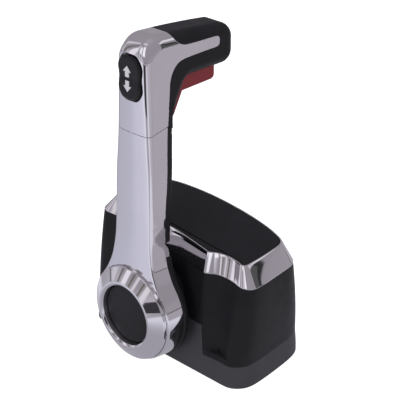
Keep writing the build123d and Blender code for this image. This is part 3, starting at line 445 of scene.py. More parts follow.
def front_field(x, y, z, w=None):
    w = half_w(z) if w is None else w
    crown = np.interp(z, [70, 120], [0.5, 1.5]) * (1 - np.clip(np.abs(x) / w, 0, 1.2) ** 2)
    return -(y - front_y(z) + crown) / 1.01


arris = spline([40, 64, 85, 120, 150, 190, 215, 245], [1.5, 1.55, 1.8, 2.5, 3.1, 3.9, 4.4, 4.8])

NOTCH = [(-52.7, 43.5), (-61.6, 36.8), (-57.6, 28.0), (-56.7, 21.0), (-56.7, 0.0)]


def seam_line(x, y):
    """Height of the joint between arm and head: level across the front, rises along the side."""
    front = 0.9 * (np.clip(np.abs(x), 0, 16) / 16) ** 2
    side = 3.0 * np.clip((y + 60.6) / 14.6, 0, 1) ** 0.9
    return SEAM_Z - 1.4 + front * 0 + side


def arm_field(x, y, z):
    s = side_field(x, z, 0.0, y)
    f = rmax(s, front_field(x, y, z), arris(np.clip(z, 40, 245)))
    f = rmax(f, y - back_y(z), 0.35)
    # bright tab between the hub's back plate and the foot of the black strip
    tab = np.maximum(np.maximum(s, 87.75 - z), rmax(y + 49.8, ((y + 49.8) * 3.3 + (z - 93.6) * 2.4) / 4.08, 0.8))
    f = rmin(f, rmax(tab, -(y + 56.0), 0.2), 0.05)
    f = rmax(f, z - seam_line(x, y) + 0.035, 0.09)
    rr = np.hypot(x, z - SHAFT_Z)
    # seat of the ring and pocket of the button
    f = cut(f, np.maximum(np.hypot(x, z - RING_Z) - RING_R - 0.1, y + 63.62), 0.12)
    f = cut(f, np.maximum(rr - 24.5, y + 58.5), 0.1)
    # cut-back rim
    yb = np.interp(z, [14.0, 21.0, 27.5, 33.0, 37.4, 42.3, 43.3], [-54.9, -55.2, -57.9, -60.5, -63.2, -56.7, -52.6])
    notch = rmax(rmax(-(y - yb) * 0.75, z - 43.4, 0.3), 32.3 - rr, 0.3)
    f = cut(f, notch, 0.3)
    f = cut(f, np.maximum(rr - 32.4, -(y + 55.5)), 0.3)
    return f


solid("arm_bright", arm_field, (-38.5, -69.0, 5.5), (38.5, -44.0, 182.5), "lever", "bright_chrome", ("lever_arm",), h=FINE * 1.15)


# ------------------------------------------------------------------ head and grip
GRIP_TOP = 240.9
SL = 0.085
SLN = math.sqrt(1 + SL * SL)


def top_plane(y, z):
    # the top bows slightly: highest over the root of the grip
    return (z - (GRIP_TOP - SL * (y + 42.0)) + 0.0006 * np.clip(y + 20, -30, 60) ** 2) / SLN


def smooth(t):
    t = np.clip(t, 0, 1)
    return t * t * (3 - 2 * t)


def env_field(x, y, z):
    w = np.where(y < -30, half_w(z), 14.6 - 0.0 * y)
    t = smooth((y + 44) / 16)
    w = half_w(z) * (1 - t) + 14.6 * t
    fx = np.abs(x) - w
    front = front_field(x, y, z, w)
    top = top_plane(y, z)
    end = y - 18.9
    # front edge 2 mm, top edges 9 mm, front-top bend 15 mm
    k = smooth((z - 224.0) / 12.0)
    r_side = arris(np.clip(z, 40, 245)) * (1 - k) + 9.0 * k
    ft = rmax(front, top, 15.5)
    f = rmax(ft, fx, r_side)
    te = rmax(end, top, 9.0)
    t1 = smooth((y + 4.0) / 11.0)
    f_end = rmax(f, rmax(rmax(te, 207.5 - z, 9.5), fx, 7.8), 0.01)
    f = rmax(f, rmax(te, fx, 8.5), 0.01)
    # underside: grip bottom, gusset, arm back
    bottom = 207.5 - z
    gus = ((y + 26.0 + 0.8 * smooth((193.0 - z) / 13.0)) * 0.888 - (z - 205.5) * 0.46)
    back = np.where(z > 150, (y - (-40.9 + (z - 178) * 0.10)), 1.0)
    inner = rmin(rmin(bottom, gus, 2.5), back, 1.5)
    inner = np.maximum(inner, -60.0)
    edge = 7.2 * smooth((y + 45) / 8) * smooth((z - 176) / 10) + 0.8
    return rmax(f, inner, np.where(z > 150, edge, 0.8)) * (1 - t1) + np.maximum(f_end, inner) * t1


def poly_field(pts):
    """Distance to a closed polygon in two coordinates, negative inside."""
    P = np.array(pts, float)
    Q = np.roll(P, -1, 0)

    def f(u, v):
        u, v = np.broadcast_arrays(u, v)
        shp = u.shape
        uu, vv = u.ravel(), v.ravel()
        d = np.full(uu.shape, 1e9)
        ins = np.zeros(uu.shape, bool)
        for (x0, y0), (x1, y1) in zip(P, Q):
            ex, ey = x1 - x0, y1 - y0
            wx, wy = uu - x0, vv - y0
            t = np.clip((wx * ex + wy * ey) / (ex * ex + ey * ey), 0, 1)
            d = np.minimum(d, (wx - ex * t) ** 2 + (wy - ey * t) ** 2)
            if y1 != y0:
                c = ((y0 <= vv) != (y1 <= vv)) & (uu < x0 + (vv - y0) * ex / ey)
                ins ^= c
        return (np.where(ins, -1, 1) * np.sqrt(d)).reshape(shp)
    return f


def bspline_closed(ctrl, k=6):
    """Points of the closed quadratic B-spline of a control polygon."""
    C = np.array(ctrl, float)
    out = []
    n = len(C)
    for i in range(n):
        a, b, c = C[i - 1], C[i], C[(i + 1) % n]
        for j in range(k):
            t = j / k
            out.append((a + b) / 2 * (1 - t) ** 2 + b * 2 * t * (1 - t) + (b + c) / 2 * t * t)
    return np.array(out)


HEAD_EDGE = [(-38.2, 250), (-37.8, 243), (-37.2, 239.5), (-36.4, 237.0), (-34.6, 234.9), (-32.2, 233.0), (-29.6, 231.9), (-26.0, 231.2)]
TONGUE_TOP = [(-12.0, 230.7), (-3.0, 230.45), (0.9, 230.3), (2.6, 229.7), (3.6, 228.2), (3.7, 226.4), (3.6, 224.6), (2.6, 223.1), (0.7, 222.6), (-8.0, 222.5)]
HEAD_LOW = [(-24.0, 222.3), (-29.5, 222.0), (-33.4, 221.2), (-36.4, 219.6), (-38.8, 217.0), (-40.8, 213.4), (-41.9, 210.0), (-42.5, 206.0), (-43.1, 200), (-44.2, 188), (-45.6, 176), (-46.5, 166)]


def open_bspline(ctrl, k=5):
    C = np.array(ctrl, float)
    out = [tuple(C[0])]
    for i in range(1, len(C) - 1):
        a, b, c = (C[i - 1] + C[i]) / 2, C[i], (C[i] + C[i + 1]) / 2
        for j in range(k):
            t = j / k
            out.append(tuple(a * (1 - t) ** 2 + b * 2 * t * (1 - t) + c * t * t))
    out.append(tuple(C[-1]))
    return out


edge_all = open_bspline(HEAD_EDGE + TONGUE_TOP + HEAD_LOW, 3)
edge_core = open_bspline(HEAD_EDGE[:5] + [(-33.6, 232.5), (-33.2, 229.0), (-33.2, 225.0), (-33.6, 222.6)] + HEAD_LOW[3:], 3)
zone_all = poly_field(edge_all + [(-80, 166), (-80, 250)])
zone_core = poly_field(edge_core + [(-80, 166), (-80, 250)])

ROCKER = [(0, 15.6), (3.4, 15.6), (6.2, 15.3), (8.4, 13.4), (10.2, 10.6), (11.3, 7.9), (10.95, 4.6), (10.3, 0), (10.95, -4.6), (11.3, -7.9),
          (10.2, -10.6), (8.4, -13.4), (6.2, -15.3), (3.4, -15.6), (0, -15.6)]
ROCK_X = -0.4
ROCK_Z = 214.5
rock_pts = bspline_closed([(x * 0.9 + ROCK_X, z * 0.945 + ROCK_Z) for x, z in ROCKER] + [(-x * 0.9 + ROCK_X, z * 0.945 + ROCK_Z) for x, z in ROCKER[1:-1]][::-1], 3)
rocker_2d = poly_field(rock_pts)


def head_field(x, y, z):
    env = env_field(x, y, z)
    za = zone_all(y, z)
    zc = zone_core(y, z)
    # the tongues are inlays in the grip's sides
    tongue = np.maximum(za, 13.0 - np.abs(x))
    zone = np.minimum(zc, tongue)
    f = rmax(env, zone + 0.03, 0.18)
    f = rmax(f, seam_line(x, y) + 0.035 - z, 0.09)
    pocket = rmax(rocker_2d(x, z) - 0.85, y + 57.0, 0.3)
    return cut(f, pocket, 0.55)


def grip_field(x, y, z):
    env = env_field(x, y, z)
    za = zone_all(y, z)
    zc = zone_core(y, z)
    tongue = np.maximum(za, 13.0 - np.abs(x))
    zone = np.minimum(zc, tongue)
    f = rmax(env, -zone + 0.03, 0.18)
    f = rmax(f, 177.25 - z, 0.1)
    # slot for the trigger
    slot = rmax(np.abs(x) - 8.75, rmax(np.maximum(y - 5.7, z - 216.2), -(y + 32.4) + np.clip(200 - z, 0, 60) * -0.5, 0.6), 0.5)
    return cut(f, slot, 0.5)


solid("head_bright", head_field, (-17.5, -66.0, 175.0), (17.5, 5.5, 243.5), "lever", "bright_chrome", ("lever_head",))
solid("grip_black", grip_field, (-17.2, -48.0, 175.0), (17.2, 20.5, 243.0), "lever", "soft_black", ("grip",))


# ------------------------------------------------------------------ rocker, arrows, trigger
def rocker_field(x, y, z):
    o = rocker_2d(x, z)
    d = z - ROCK_Z
    face = -65.2 - 0.25 * smooth((np.abs(d) - 6.0) / 8.0) + 0.55 * np.exp(-(d / 3.2) ** 2)
    f = rmax(o + 0.0, -(y - face), 1.7)
    return rmax(f, y + 60.5, 0.3)


solid("rocker_body", rocker_field, (-12.5, -67.2, 198.2), (12.5, -59.8, 231.4), "rocker", "black_plastic", ("trim_rocker",), h=FINE * 0.85)


def prism(name, outline, y0, y1, body, slot, nodes=(), bevel=0.05, plane="xz"):
    """A bevelled plate from an outline. plane xz: outline in x,z between y0 and y1; yz: in y,z between x0 and x1."""
    n = len(outline)
    verts = []
    for v in (y0, y1):
        for a, b in outline:
            verts.append((a, v, b) if plane == "xz" else (v, a, b))
    faces = [tuple(range(n)), tuple(range(2 * n - 1, n - 1, -1))]
    faces += [(i, (i + 1) % n, n + (i + 1) % n, n + i) for i in range(n)]
    ob = place(name, verts, faces, body, slot, nodes)
    fix_outward(ob)
    weighted(ob, bevel, 3, 30)
    return ob


ARROW = [(0, 10.4), (-3.5, 6.3), (-1.65, 6.3), (-1.65, 2.5), (1.65, 2.5), (1.65, 6.3), (3.5, 6.3)]
for tag, s in (("up", 1), ("down", -1)):
    prism("arrow_" + tag, [(x * 1.02 - 0.85, ROCK_Z + (-1.7 if s > 0 else 0.7) + s * z * 0.97) for x, z in ARROW], -65.62, -65.0, "rocker", "arrow_grey",
          ("rocker_arrows",) if s == 1 else (), 0.04)


def trigger_field(x, y, z):
    bar = rmax(rmax(196.9 + (y + 25) * 0.03 - z, y - 5.4, 3.4), np.maximum(z - 211.2, -(y + 27.2)), 0.3)
    lo = (y + 25.6) * 0.886 - (z - 197.8) * 0.463 - 1.2    # gusset-side lower edge of the blade
    up = (y + 28.6) * 0.886 - (z - 202.8) * 0.463
    blade = np.maximum(np.maximum(lo, -up - 0.1), np.maximum(z - 204.0, 181.8 - z))
    f = np.minimum(bar, blade)
    return rmax(f, np.abs(x) - 8.2, 1.1)


solid("trigger_body", trigger_field, (-9.2, -42.0, 180.5), (9.2, 6.0, 212.0), "trigger", "trigger_red", ("neutral_lock_trigger",), h=FINE * 0.9)

# ------------------------------------------------------------------ hub ring, button, back cover, strip
lathe("ring_bright", rounded([(33.0, -63.75), (34.05, -63.75), (34.2, -63.9), (34.2, -69.35), (25.1, -75.0), (23.5, -75.05),
                              (22.0, -74.0), (21.35, -70.0), (21.35, -65.5), (24.4, -65.4), (24.4, -63.75)],
                             [0, 0.1, 0.15, 0.7, 1.0, 0.8, 0.7, 0.3, 0.2, 0.1, 0]), "lever", "bright_chrome", ("hub_bezel",), seg=256, z=RING_Z)
dome = [(20.3 * math.cos(math.radians(a)), -70.45 - 1.15 * math.sin(math.radians(a))) for a in range(0, 91, 6)]
lathe("button_dome", rounded([(19.6, -64.0), (21.1, -64.0), (21.1, -70.1), (20.6, -70.4)], [0, 0.1, 0.3, 0]) +
      rounded([(20.35, -70.42)] + dome[1:], 0)[:-1] + [(0.0, -71.6)] + [(0.0, -69.4), (19.6, -69.4)],
      "button", "black_plastic", ("throttle_only_button",), seg=192, z=RING_Z)


def back_cover_field(x, y, z):
    s = side_field(x, z, 0.6)
    f = rmax(s, np.maximum(y + 48.6, -(y + 52.6)), 1.0)
    f = rmax(f, z - 87.6, 0.6)
    rr = np.hypot(x, z - SHAFT_Z)
    r2 = np.hypot(x, z - HUB_Z)
    yb = np.interp(z, [14.0, 21.0, 27.5, 33.0, 37.4, 42.2, 43.2], [-54.7, -55.0, -57.7, -60.3, -63.0, -56.5, -52.4])
    bulge = 36.3 - 0.9 * smooth((-(y + 55.5)) / 5.0)
    fill = rmax(rmax(r2 - bulge, -(y - yb - 0.1) * 0.75, 0.5), np.maximum(y + 51.5, np.maximum(32.8 - rr, z - 43.2)), 0.2)
    f = rmin(f, fill, 0.1)
    return cut(f, np.maximum(rr - 24.5, np.abs(y + 50) - 9), 0.4)


solid("hub_back", back_cover_field, (-39.5, -64.5, 4.5), (39.5, -47.5, 89.5), "lever", "black_plastic", ("hub_back_cover",), h=FINE * 1.2)


def strip_field(x, y, z):
    w = half_w(z) - 0.35
    f = rmax(np.abs(x) - w, y - (back_y(z) + 5.2), 1.3)
    f = rmax(f, -(y - back_y(z) - 0.02), 0.05)
    f = rmax(f, z - 177.2, 0.1)
    return rmax(f, 97.2 - z, 1.4)


solid("back_strip", strip_field, (-19.5, -54.5, 95.5), (19.5, -41.5, 178.2), "lever", "black_plastic", ("arm_back_strip",), h=FINE * 1.15)

# ------------------------------------------------------------------ housing
LEVELS = {
    "deck": [(0, -41.5), (18, -41.5), (34, -41.5), (37.5, -41.5), (41, -41.5), (45, -41.5),
             (49, -41.5), (53, -41.5), (57, -41.5), (61.5, -41.5), (66.8, -40.9), (71.7, -37.4),
             (75, -32.3), (76, -26), (75.4, -16), (74.3, -5), (72.9, 5.5), (71.2, 17),
             (67.6, 28), (60, 34.8), (48, 38.2), (33.5, 40.2), (17, 41.2), (0, 41.5)],
    "skirt": [(0, -41.3), (18, -41.3), (34, -41.3), (37.5, -41.3), (41, -41.2), (45, -41),
              (49, -40.5), (53.5, -40.1), (58, -40.2), (62, -40.6), (66, -40.3), (70.4, -36.9),
              (73.6, -32), (74.4, -26), (73.9, -16), (72.7, -5), (71.3, 6), (69.8, 17.5),
              (66.3, 28), (59, 34.2), (47, 37.6), (33, 39.5), (17, 40.6), (0, 41)],
    "low": [(0, -30.3), (18, -32.2), (34.5, -34.4), (37, -35), (39.5, -33.6), (42.5, -30.7),
            (46.5, -28.8), (51.5, -28.1), (57.5, -28.3), (62, -29.2), (66.5, -29.8), (70.3, -28.3),
            (72.7, -25.2), (73.4, -20.5), (72.8, -11.5), (71.6, -2), (70.4, 7.5), (69.4, 17),
            (65.8, 24), (59, 28), (48, 31), (34, 33.4), (17, 35), (0, 35.5)],
    "high": [(0, -27.5), (18, -29.3), (34.5, -31.4), (37, -31.9), (39.3, -30.7), (42, -28.2),
             (46, -26.3), (51, -25.4), (57, -25.5), (60.5, -26.2), (63, -26.8), (65.3, -26.4),
             (66.4, -24.5), (66.5, -21), (65.9, -12), (65, -3), (63.8, 6), (62.6, 13.5),
             (59.6, 18.6), (54, 21.7), (44, 24.6), (31, 27), (16, 28.6), (0, 29.1)],
}
KSUB = 8


def ring_points(name):
    c = LEVELS[name]
    left = []
    for x, y in c[-2:0:-1]:
        k = 1 - 0.075 * (x / 66.5) ** 2 if name == "high" else (1.018 if name == "low" else 1.0)
        left.append((1.5 - x * k, y))
    loop = [(x + 1.5, y) for x, y in c] + left
    return bspline_closed(loop, KSUB)


def inward(P, d):
    """Moves a closed outline inwards."""
    T = np.roll(P, -1, 0) - np.roll(P, 1, 0)
    T /= np.linalg.norm(T, axis=1)[:, None]
    return P + np.stack([-T[:, 1], T[:, 0]], 1) * d


R = {k: ring_points(k) for k in LEVELS}
NC = len(R["deck"])


def wall(v, inset=0.0):
    """The cover's wall between the skirt (v=0) and the trim band (v=1)."""
    S, L = R["skirt"], R["low"]
    P = S * (1 - v) + L * v
    P = inward(P, inset - 4 * v * (1 - v) * 1.0)
    z = 16.4 + v * (47.5 - 16.4) / 0.5 if v < 0.5 else 47.5 + (v - 0.5) * (79.3 - 47.5) / 0.5
    z = z - P[:, 0] * 0.08 * v
    return np.column_stack([P, z])


def scoop(V):
    """Screw pockets: the flutes deepen at their feet and end on a small ledge."""
    x, y, z = V[:, 0].copy(), V[:, 1], V[:, 2]
    for cx in (54.6, -51.6):
        wx = np.clip(1 - ((x - cx) / 13.0) ** 2, 0, 1) ** 1.6
        up = smooth((z - 20.4) / 0.9) * (1 - smooth((z - 21.3) / 34.0))
        V[:, 1] += np.where(y < 0, 2.7 * wx * up, 0)
    return V


NX = [43.0, 40.3]


def fit_notch(V, z):
    """Slides points along the row so that one column each side runs up the notch's edge."""
    t = min(max((z - 16.4) / 23.0, 0), 1)
    xt = NX[0] + (NX[1] - NX[0]) * t
    n = len(V)
    half = n // 2
    out = V.copy()
    for side in (1, -1):
        i = np.arange(half) if side == 1 else (-np.arange(half)) % n
        X = V[i, 0] * side
        lim = X < 60
        m = int(np.argmax(X > 60))
        Xs = X[:m]
        k = KC
        src = np.interp(xt, Xs, np.arange(m))
        new = np.interp(np.arange(m), [0, k, m - 1], [0, src, m - 1])
        for c in range(V.shape[1]):
            out[i[:m], c] = np.interp(new, np.arange(m), V[i[:m], c])
    return out


X0 = R["skirt"][:NC // 2, 0]
KC = int(np.argmin(np.abs(X0[:NC // 4] - 41.5)))

zs = [16.4, 16.6, 17.2, 18.2, 19.2, 20.0, 20.4, 20.7, 20.95, 21.2, 21.6, 22.2, 23.0, 24.0, 25.5, 27.5, 30, 33, 36, 38.2, 39.4, 40.6, 43, 46, 50, 55, 60, 65, 70, 74, 77, 78.6, 79.1, 79.3]


def v_of(z):
    return (z - 16.4) / 31.1 * 0.5 if z < 47.5 else 0.5 + (z - 47.5) / 31.8 * 0.5


def wall_row(z, inset=0.0):
    W = wall(v_of(z), inset)
    W = scoop(W)
    if z < 60:
        a = fit_notch(W, z)
        t = smooth((z - 42) / 18.0)
        W = a * (1 - t) + W * t
    return W


def cover_mesh():
    rows = [wall_row(z) for z in zs]
    n = NC
    verts = np.concatenate(rows)
    faces = []
    jn = KC
    for r in range(len(rows) - 1):
        for j in range(n):
            k = (j + 1) % n
            in_notch = (j < jn) or (j >= n - jn)
            if in_notch and zs[r] < 39.3:
                continue
            faces.append((r * n + j, r * n + k, (r + 1) * n + k, (r + 1) * n + j))
    ob = place("cover_shell", verts, faces, "housing", "soft_black", ("housing_cover",))
    s = ob.modifiers.new("wall", "SOLIDIFY")
    s.thickness = 2.2 * MM
    s.offset = -1
    s.use_even_offset = False
    weighted(ob, 0.35, 3, 55)
    return ob


cover_mesh()


def skirt_mesh():
    """Base skirt with the upstand that fills the notch, one surface."""
    rows, levels = [], []
    D, S = R["deck"], R["skirt"]
    for z, ins in ((0.0, 0.7), (0.12, 0.25), (0.5, 0.04), (1.2, 0.0), (4, 0), (8, 0), (12, 0), (15.2, 0), (16.0, 0.0)):
        t = z / 16.4
        P = inward(D * (1 - t) + S * t, ins - 0.25 * 4 * t * (1 - t))
        row = np.column_stack([P, np.full(len(P), z)])
        rows.append(fit_notch(row, 16.4))
        levels.append(z)
    W = wall_row(16.4)
    W[:, 2] = 16.32
    rows.append(W)
    levels.append(16.32)
    base_rows = len(rows)
    for z in (18.2, 21, 25, 30, 35, 38.2, 39.2):
        rows.append(wall_row(z, 0.0))
        levels.append(z)
    n = NC
    verts = list(map(tuple, np.concatenate(rows)))
    faces = []
    for r in range(len(rows) - 1):
        for j in range(n):
            k = (j + 1) % n
            if r >= base_rows - 1 and not (j < KC or j >= n - KC):
                continue
            faces.append((r * n + j, r * n + k, (r + 1) * n + k, (r + 1) * n + j))
    # pull the upstand's sides in by a hair, so that the seam reads
    V = np.array(verts)
    for r in range(base_rows, len(rows)):
        for j in (KC, n - KC):
            V[r * n + j, 0] -= 0.18 * np.sign(V[r * n + j, 0])
    ob = place("skirt_shell", V, faces, "housing", "skirt_grey", ())
    bm = bmesh.new()
    bm.from_mesh(ob.data)
    bmesh.ops.delete(bm, geom=[v for v in bm.verts if not v.link_faces], context="VERTS")
    bm.to_mesh(ob.data)
    bm.free()
    ob.data.shade_smooth()
    s = ob.modifiers.new("wall", "SOLIDIFY")
    s.thickness = 2.0 * MM
    s.offset = -1
    weighted(ob, 0.3, 3, 55)
    return ob


skirt_mesh()


def level(name, inset, dz):
    P = inward(R[name], inset)
    if name == "low":
        return np.column_stack([P, 79.3 - 0.08 * P[:, 0] + dz])
    # the top leans towards the lever, which widens the bevel there
    drop = np.clip(1.15 - 0.037 * P[:, 1], 0, 2.3)
    x, y = P[:, 0] - 1.44 * drop, P[:, 1] + 1.45 * drop
    return np.column_stack([x, y, 94.1 - 0.08 * P[:, 0] - drop + dz])


def blend_rows(a, b, t):
    return a * (1 - t) + b * t


lo_o, hi_o = level("low", -0.22, 0.0), level("high", 0.0, 0.0)
trim_rows = [level("low", 1.6, 0.35), level("low", 0.15, 0.0), level("low", -0.1, 0.05), blend_rows(lo_o, hi_o, 0.02)]
trim_rows += [blend_rows(lo_o, hi_o, t) for t in (0.06, 0.25, 0.5, 0.75, 0.94)]
trim_rows += [level("high", 0.05, -0.42), level("high", 0.22, -0.12), level("high", 0.5, 0.0), level("high", 0.85, 0.0), level("high", 1.0, -0.08), level("high", 1.08, -0.3), level("high", 1.1, -2.6)]
tv = np.concatenate(trim_rows)
trim = place("trim_band", tv, rows_to_faces(len(trim_rows), NC), "housing", "bright_chrome", ("chrome_trim",))
fix_outward(trim)
weighted(trim)

panel_rows = [level("high", 1.3, -2.6), level("high", 1.25, -0.75), level("high", 1.32, -0.42), level("high", 1.5, -0.25), level("high", 1.8, -0.2), level("high", 2.4, -0.2)]
pv = np.concatenate(panel_rows)
pf = rows_to_faces(len(panel_rows), NC)
pf.append(tuple(range((len(panel_rows) - 1) * NC, len(panel_rows) * NC)))
panel = place("panel_top", pv, pf, "housing", "soft_black", ("top_panel",))
weighted(panel)

# ------------------------------------------------------------------ coils for the plain spring tubes
def coil(name, a, b, r, wire, turns, body, slot, nodes, axis):
    a, b = np.array(a, float), np.array(b, float)
    n, m = int(turns * 22), 8
    u = {"x": ((0, 1, 0), (0, 0, 1)), "y": ((0, 0, 1), (1, 0, 0)), "z": ((1, 0, 0), (0, 1, 0))}[axis]
    u0, u1 = np.array(u[0], float), np.array(u[1], float)
    d = (b - a) / np.linalg.norm(b - a)
    verts = []
    L = np.linalg.norm(b - a) - wire * 2
    for i in range(n + 1):
        t = i / n
        ph = 2 * math.pi * turns * t
        ts = np.clip((t * turns - 0.8) / max(turns - 1.6, 0.1), 0, 1)
        rad = u0 * math.cos(ph) + u1 * math.sin(ph)
        c = a + d * (wire + L * ts) + rad * (r - wire)
        for j in range(m):
            q = 2 * math.pi * j / m
            verts.append(c + (rad * math.cos(q) + d * math.sin(q)) * wire)
    faces = rows_to_faces(n + 1, m, True)
    faces += [tuple(range(m))[::-1], tuple(range(n * m, n * m + m))]
    ob = place(name, verts, faces, body, slot, nodes)
    fix_outward(ob)
    return ob


coil("spring_button", (0, -66.2, SHAFT_Z), (0, -58.7, SHAFT_Z), 14.4, 0.55, 5, "lever", "steel_screws", ("button_spring",), "y")
coil("spring_trigger", (0, -52.2, 196.15), (0, -52.2, 203.35), 1.85, 0.3, 5, "lever", "steel_screws", ("trigger_spring",), "z")
coil("spring_detent", (-39.85, -1.2, SHAFT_Z), (-33.25, -1.2, SHAFT_Z), 2.55, 0.32, 6, "housing", "steel_screws", ("detent_spring",), "x")

# small edge softening on the machined and moulded pieces that stay as built
for node in ("bearing_collar", "cover_screws", "lever_bolt", "lever_washer", "mechanism_frame", "detent_body", "rocker_switch", "cable_anchor",
             "cable_clamp", "friction_bracket", "switch_bracket", "neutral_switch", "throttle_arm", "wire_grommet", "shaft_bush_front",
             "shaft_bush_rear", "neutral_lock_ring", "lock_pin"):
    ob = frame["nodes"][node]
    b = ob.modifiers.new("edge", "BEVEL")
    b.width = 0.25 * MM
    b.segments = 2
    b.limit_method = "ANGLE"
    b.angle_limit = math.radians(50)
    w = ob.modifiers.new("weights", "WEIGHTED_NORMAL")
    w.keep_sharp = True

# ------------------------------------------------------------------ stage, lights, camera
def stage_plane(name, verts, mat):
    me = bpy.data.meshes.new(name)
    me.from_pydata(verts, [], [tuple(range(len(verts)))])
    ob = bpy.data.objects.new(name, me)
    bpy.context.scene.collection.objects.link(ob)
    me.materials.append(mat)
    return ob


fm, fnt, fp = new_material("floor_white")
fp.inputs["Base Color"].default_value = (0.50, 0.50, 0.50, 1)
fp.inputs["Roughness"].default_value = 0.9
fp.inputs["Specular IOR Level"].default_value = 0.0
fp.inputs["Emission Color"].default_value = (1, 1, 1, 1)
fp.inputs["Emission Strength"].default_value = 0.93
stage_plane("floor", [(-6, -6, -0.0006), (6, -6, -0.0006), (6, 6, -0.0006), (-6, 6, -0.0006)], fm)
bpy.context.scene.view_settings.view_transform = "Standard"

C = Vector((0.61535, -0.62138, 0.5329))
cam_data = bpy.data.cameras.new("camera")
cam_data.lens = 125.036
cam_data.sensor_width = 36.0
cam_data.clip_start = 0.01
cam_data.clip_end = 50
cam = bpy.data.objects.new("camera", cam_data)
bpy.context.scene.collection.objects.link(cam)
az, el = math.radians(44.735), math.radians(26.031)
fwd = Vector((-math.sin(az) * math.cos(el), math.cos(az) * math.cos(el), -math.sin(el)))
right = Vector((math.cos(az), math.sin(az), 0))
up = right.cross(fwd)
rot = Matrix((right, up, -fwd)).transposed()
cam.matrix_world = Matrix.Translation(C) @ rot.to_4x4()
bpy.context.scene.camera = cam

world = bpy.data.worlds.new("studio")
bpy.context.scene.world = world
world.use_nodes = True
wn = world.node_tree
bg = wn.nodes["Background"]
tcw = wn.nodes.new("ShaderNodeTexCoord")
sep = wn.nodes.new("ShaderNodeSeparateXYZ")
wn.links.new(tcw.outputs["Generated"], sep.inputs[0])
ramp = wn.nodes.new("ShaderNodeValToRGB")
cr = ramp.color_ramp
cr.elements[0].position = 0.0
cr.elements[0].color = (0.62, 0.60, 0.66, 1)
cr.elements[1].position = 1.0
cr.elements[1].color = (0.30, 0.285, 0.31, 1)
e1 = cr.elements.new(0.50)
e1.color = (0.48, 0.455, 0.50, 1)
e2 = cr.elements.new(0.62)
e2.color = (0.36, 0.34, 0.37, 1)
mpz = wn.nodes.new("ShaderNodeMapRange")
mpz.inputs["From Min"].default_value = -1
mpz.inputs["From Max"].default_value = 1
wn.links.new(sep.outputs["Z"], mpz.inputs["Value"])
wn.links.new(mpz.outputs["Result"], ramp.inputs["Fac"])
wn.links.new(ramp.outputs["Color"], bg.inputs["Color"])
bg.inputs["Strength"].default_value = 1.35


def light(name, loc, target, size, power, color=(1, 1, 1), size_y=None):
    d = bpy.data.lights.new(name, "AREA")
    d.shape = "RECTANGLE"
    d.size = size
    d.size_y = size_y or size
    d.energy = power
    d.color = color
    o = bpy.data.objects.new(name, d)
    bpy.context.scene.collection.objects.link(o)
    o.location = loc
    v = Vector(target) - Vector(loc)
    o.rotation_euler = v.to_track_quat("-Z", "Y").to_euler()
    o.visible_glossy = False
    return o


T = (0, -0.02, 0.12)
light("key_top", (0.1, 0.1, 2.2), T, 0.8, 21.0, (1.0, 0.995, 1.0))
light("front_soft", (0.40, -2.0, 0.8), T, 0.7, 10.0, (0.97, 0.97, 1.0))
light("right_soft", (1.9, 0.1, 1.0), T, 0.5, 0.5, (1.0, 0.985, 0.97))
light("back_soft", (0.2, 2.0, 1.2), T, 0.7, 4.0)


# reflectors: seen only in polished surfaces, as the soft boxes and flags of a studio are
def math_node(nt, op, a, b=None):
    n = nt.nodes.new("ShaderNodeMath")
    n.operation = op
    for i, v in enumerate((a, b)):
        if v is None:
            continue
        if isinstance(v, (int, float)):
            n.inputs[i].default_value = v
        else:
            nt.links.new(v, n.inputs[i])
    return n.outputs[0]


def ramp_node(nt, fac, stops, lo=0.0, hi=1.0):
    """Colour ramp over lo..hi of a value; stops are (value, colour)."""
    mr = nt.nodes.new("ShaderNodeMapRange")
    mr.inputs["From Min"].default_value = lo
    mr.inputs["From Max"].default_value = hi
    nt.links.new(fac, mr.inputs["Value"])
    r = nt.nodes.new("ShaderNodeValToRGB")
    c = r.color_ramp
    c.interpolation = "EASE"
    while len(c.elements) > 1:
        c.elements.remove(c.elements[-1])
    c.elements[0].position = (stops[0][0] - lo) / (hi - lo)
    c.elements[0].color = (*stops[0][1], 1)
    for v, col in stops[1:]:
        e = c.elements.new((v - lo) / (hi - lo))
        e.color = (*col, 1)
    nt.links.new(mr.outputs["Result"], r.inputs["Fac"])
    return r.outputs["Color"]


def mix_color(nt, fac, a, b):
    mx = nt.nodes.new("ShaderNodeMix")
    mx.data_type = "RGBA"
    for sock, v in ((0, fac), (6, a), (7, b)):
        if isinstance(v, tuple):
            mx.inputs[sock].default_value = (*v, 1)
        elif isinstance(v, (int, float)):
            mx.inputs[sock].default_value = v
        else:
            nt.links.new(v, mx.inputs[sock])
    return mx.outputs[2]


def glow_material(name):
    m = bpy.data.materials.new(name)
    m.use_nodes = True
    nt = m.node_tree
    nt.nodes.clear()
    out = nt.nodes.new("ShaderNodeOutputMaterial")
    em = nt.nodes.new("ShaderNodeEmission")
    nt.links.new(em.outputs[0], out.inputs["Surface"])
    m.cycles.emission_sampling = "NONE"
    tc = nt.nodes.new("ShaderNodeTexCoord")
    sp = nt.nodes.new("ShaderNodeSeparateXYZ")
    nt.links.new(tc.outputs["Object"], sp.inputs[0])
    return m, nt, em, sp.outputs


def reflector(ob):
    ob.visible_camera = False
    ob.visible_diffuse = False
    ob.visible_shadow = False
    ob.visible_transmission = False
    ob.visible_volume_scatter = False
    return ob


def lilac(v, blue=1.03, red=1.0, green=0.94):
    return (v * red, v * green, v * blue)


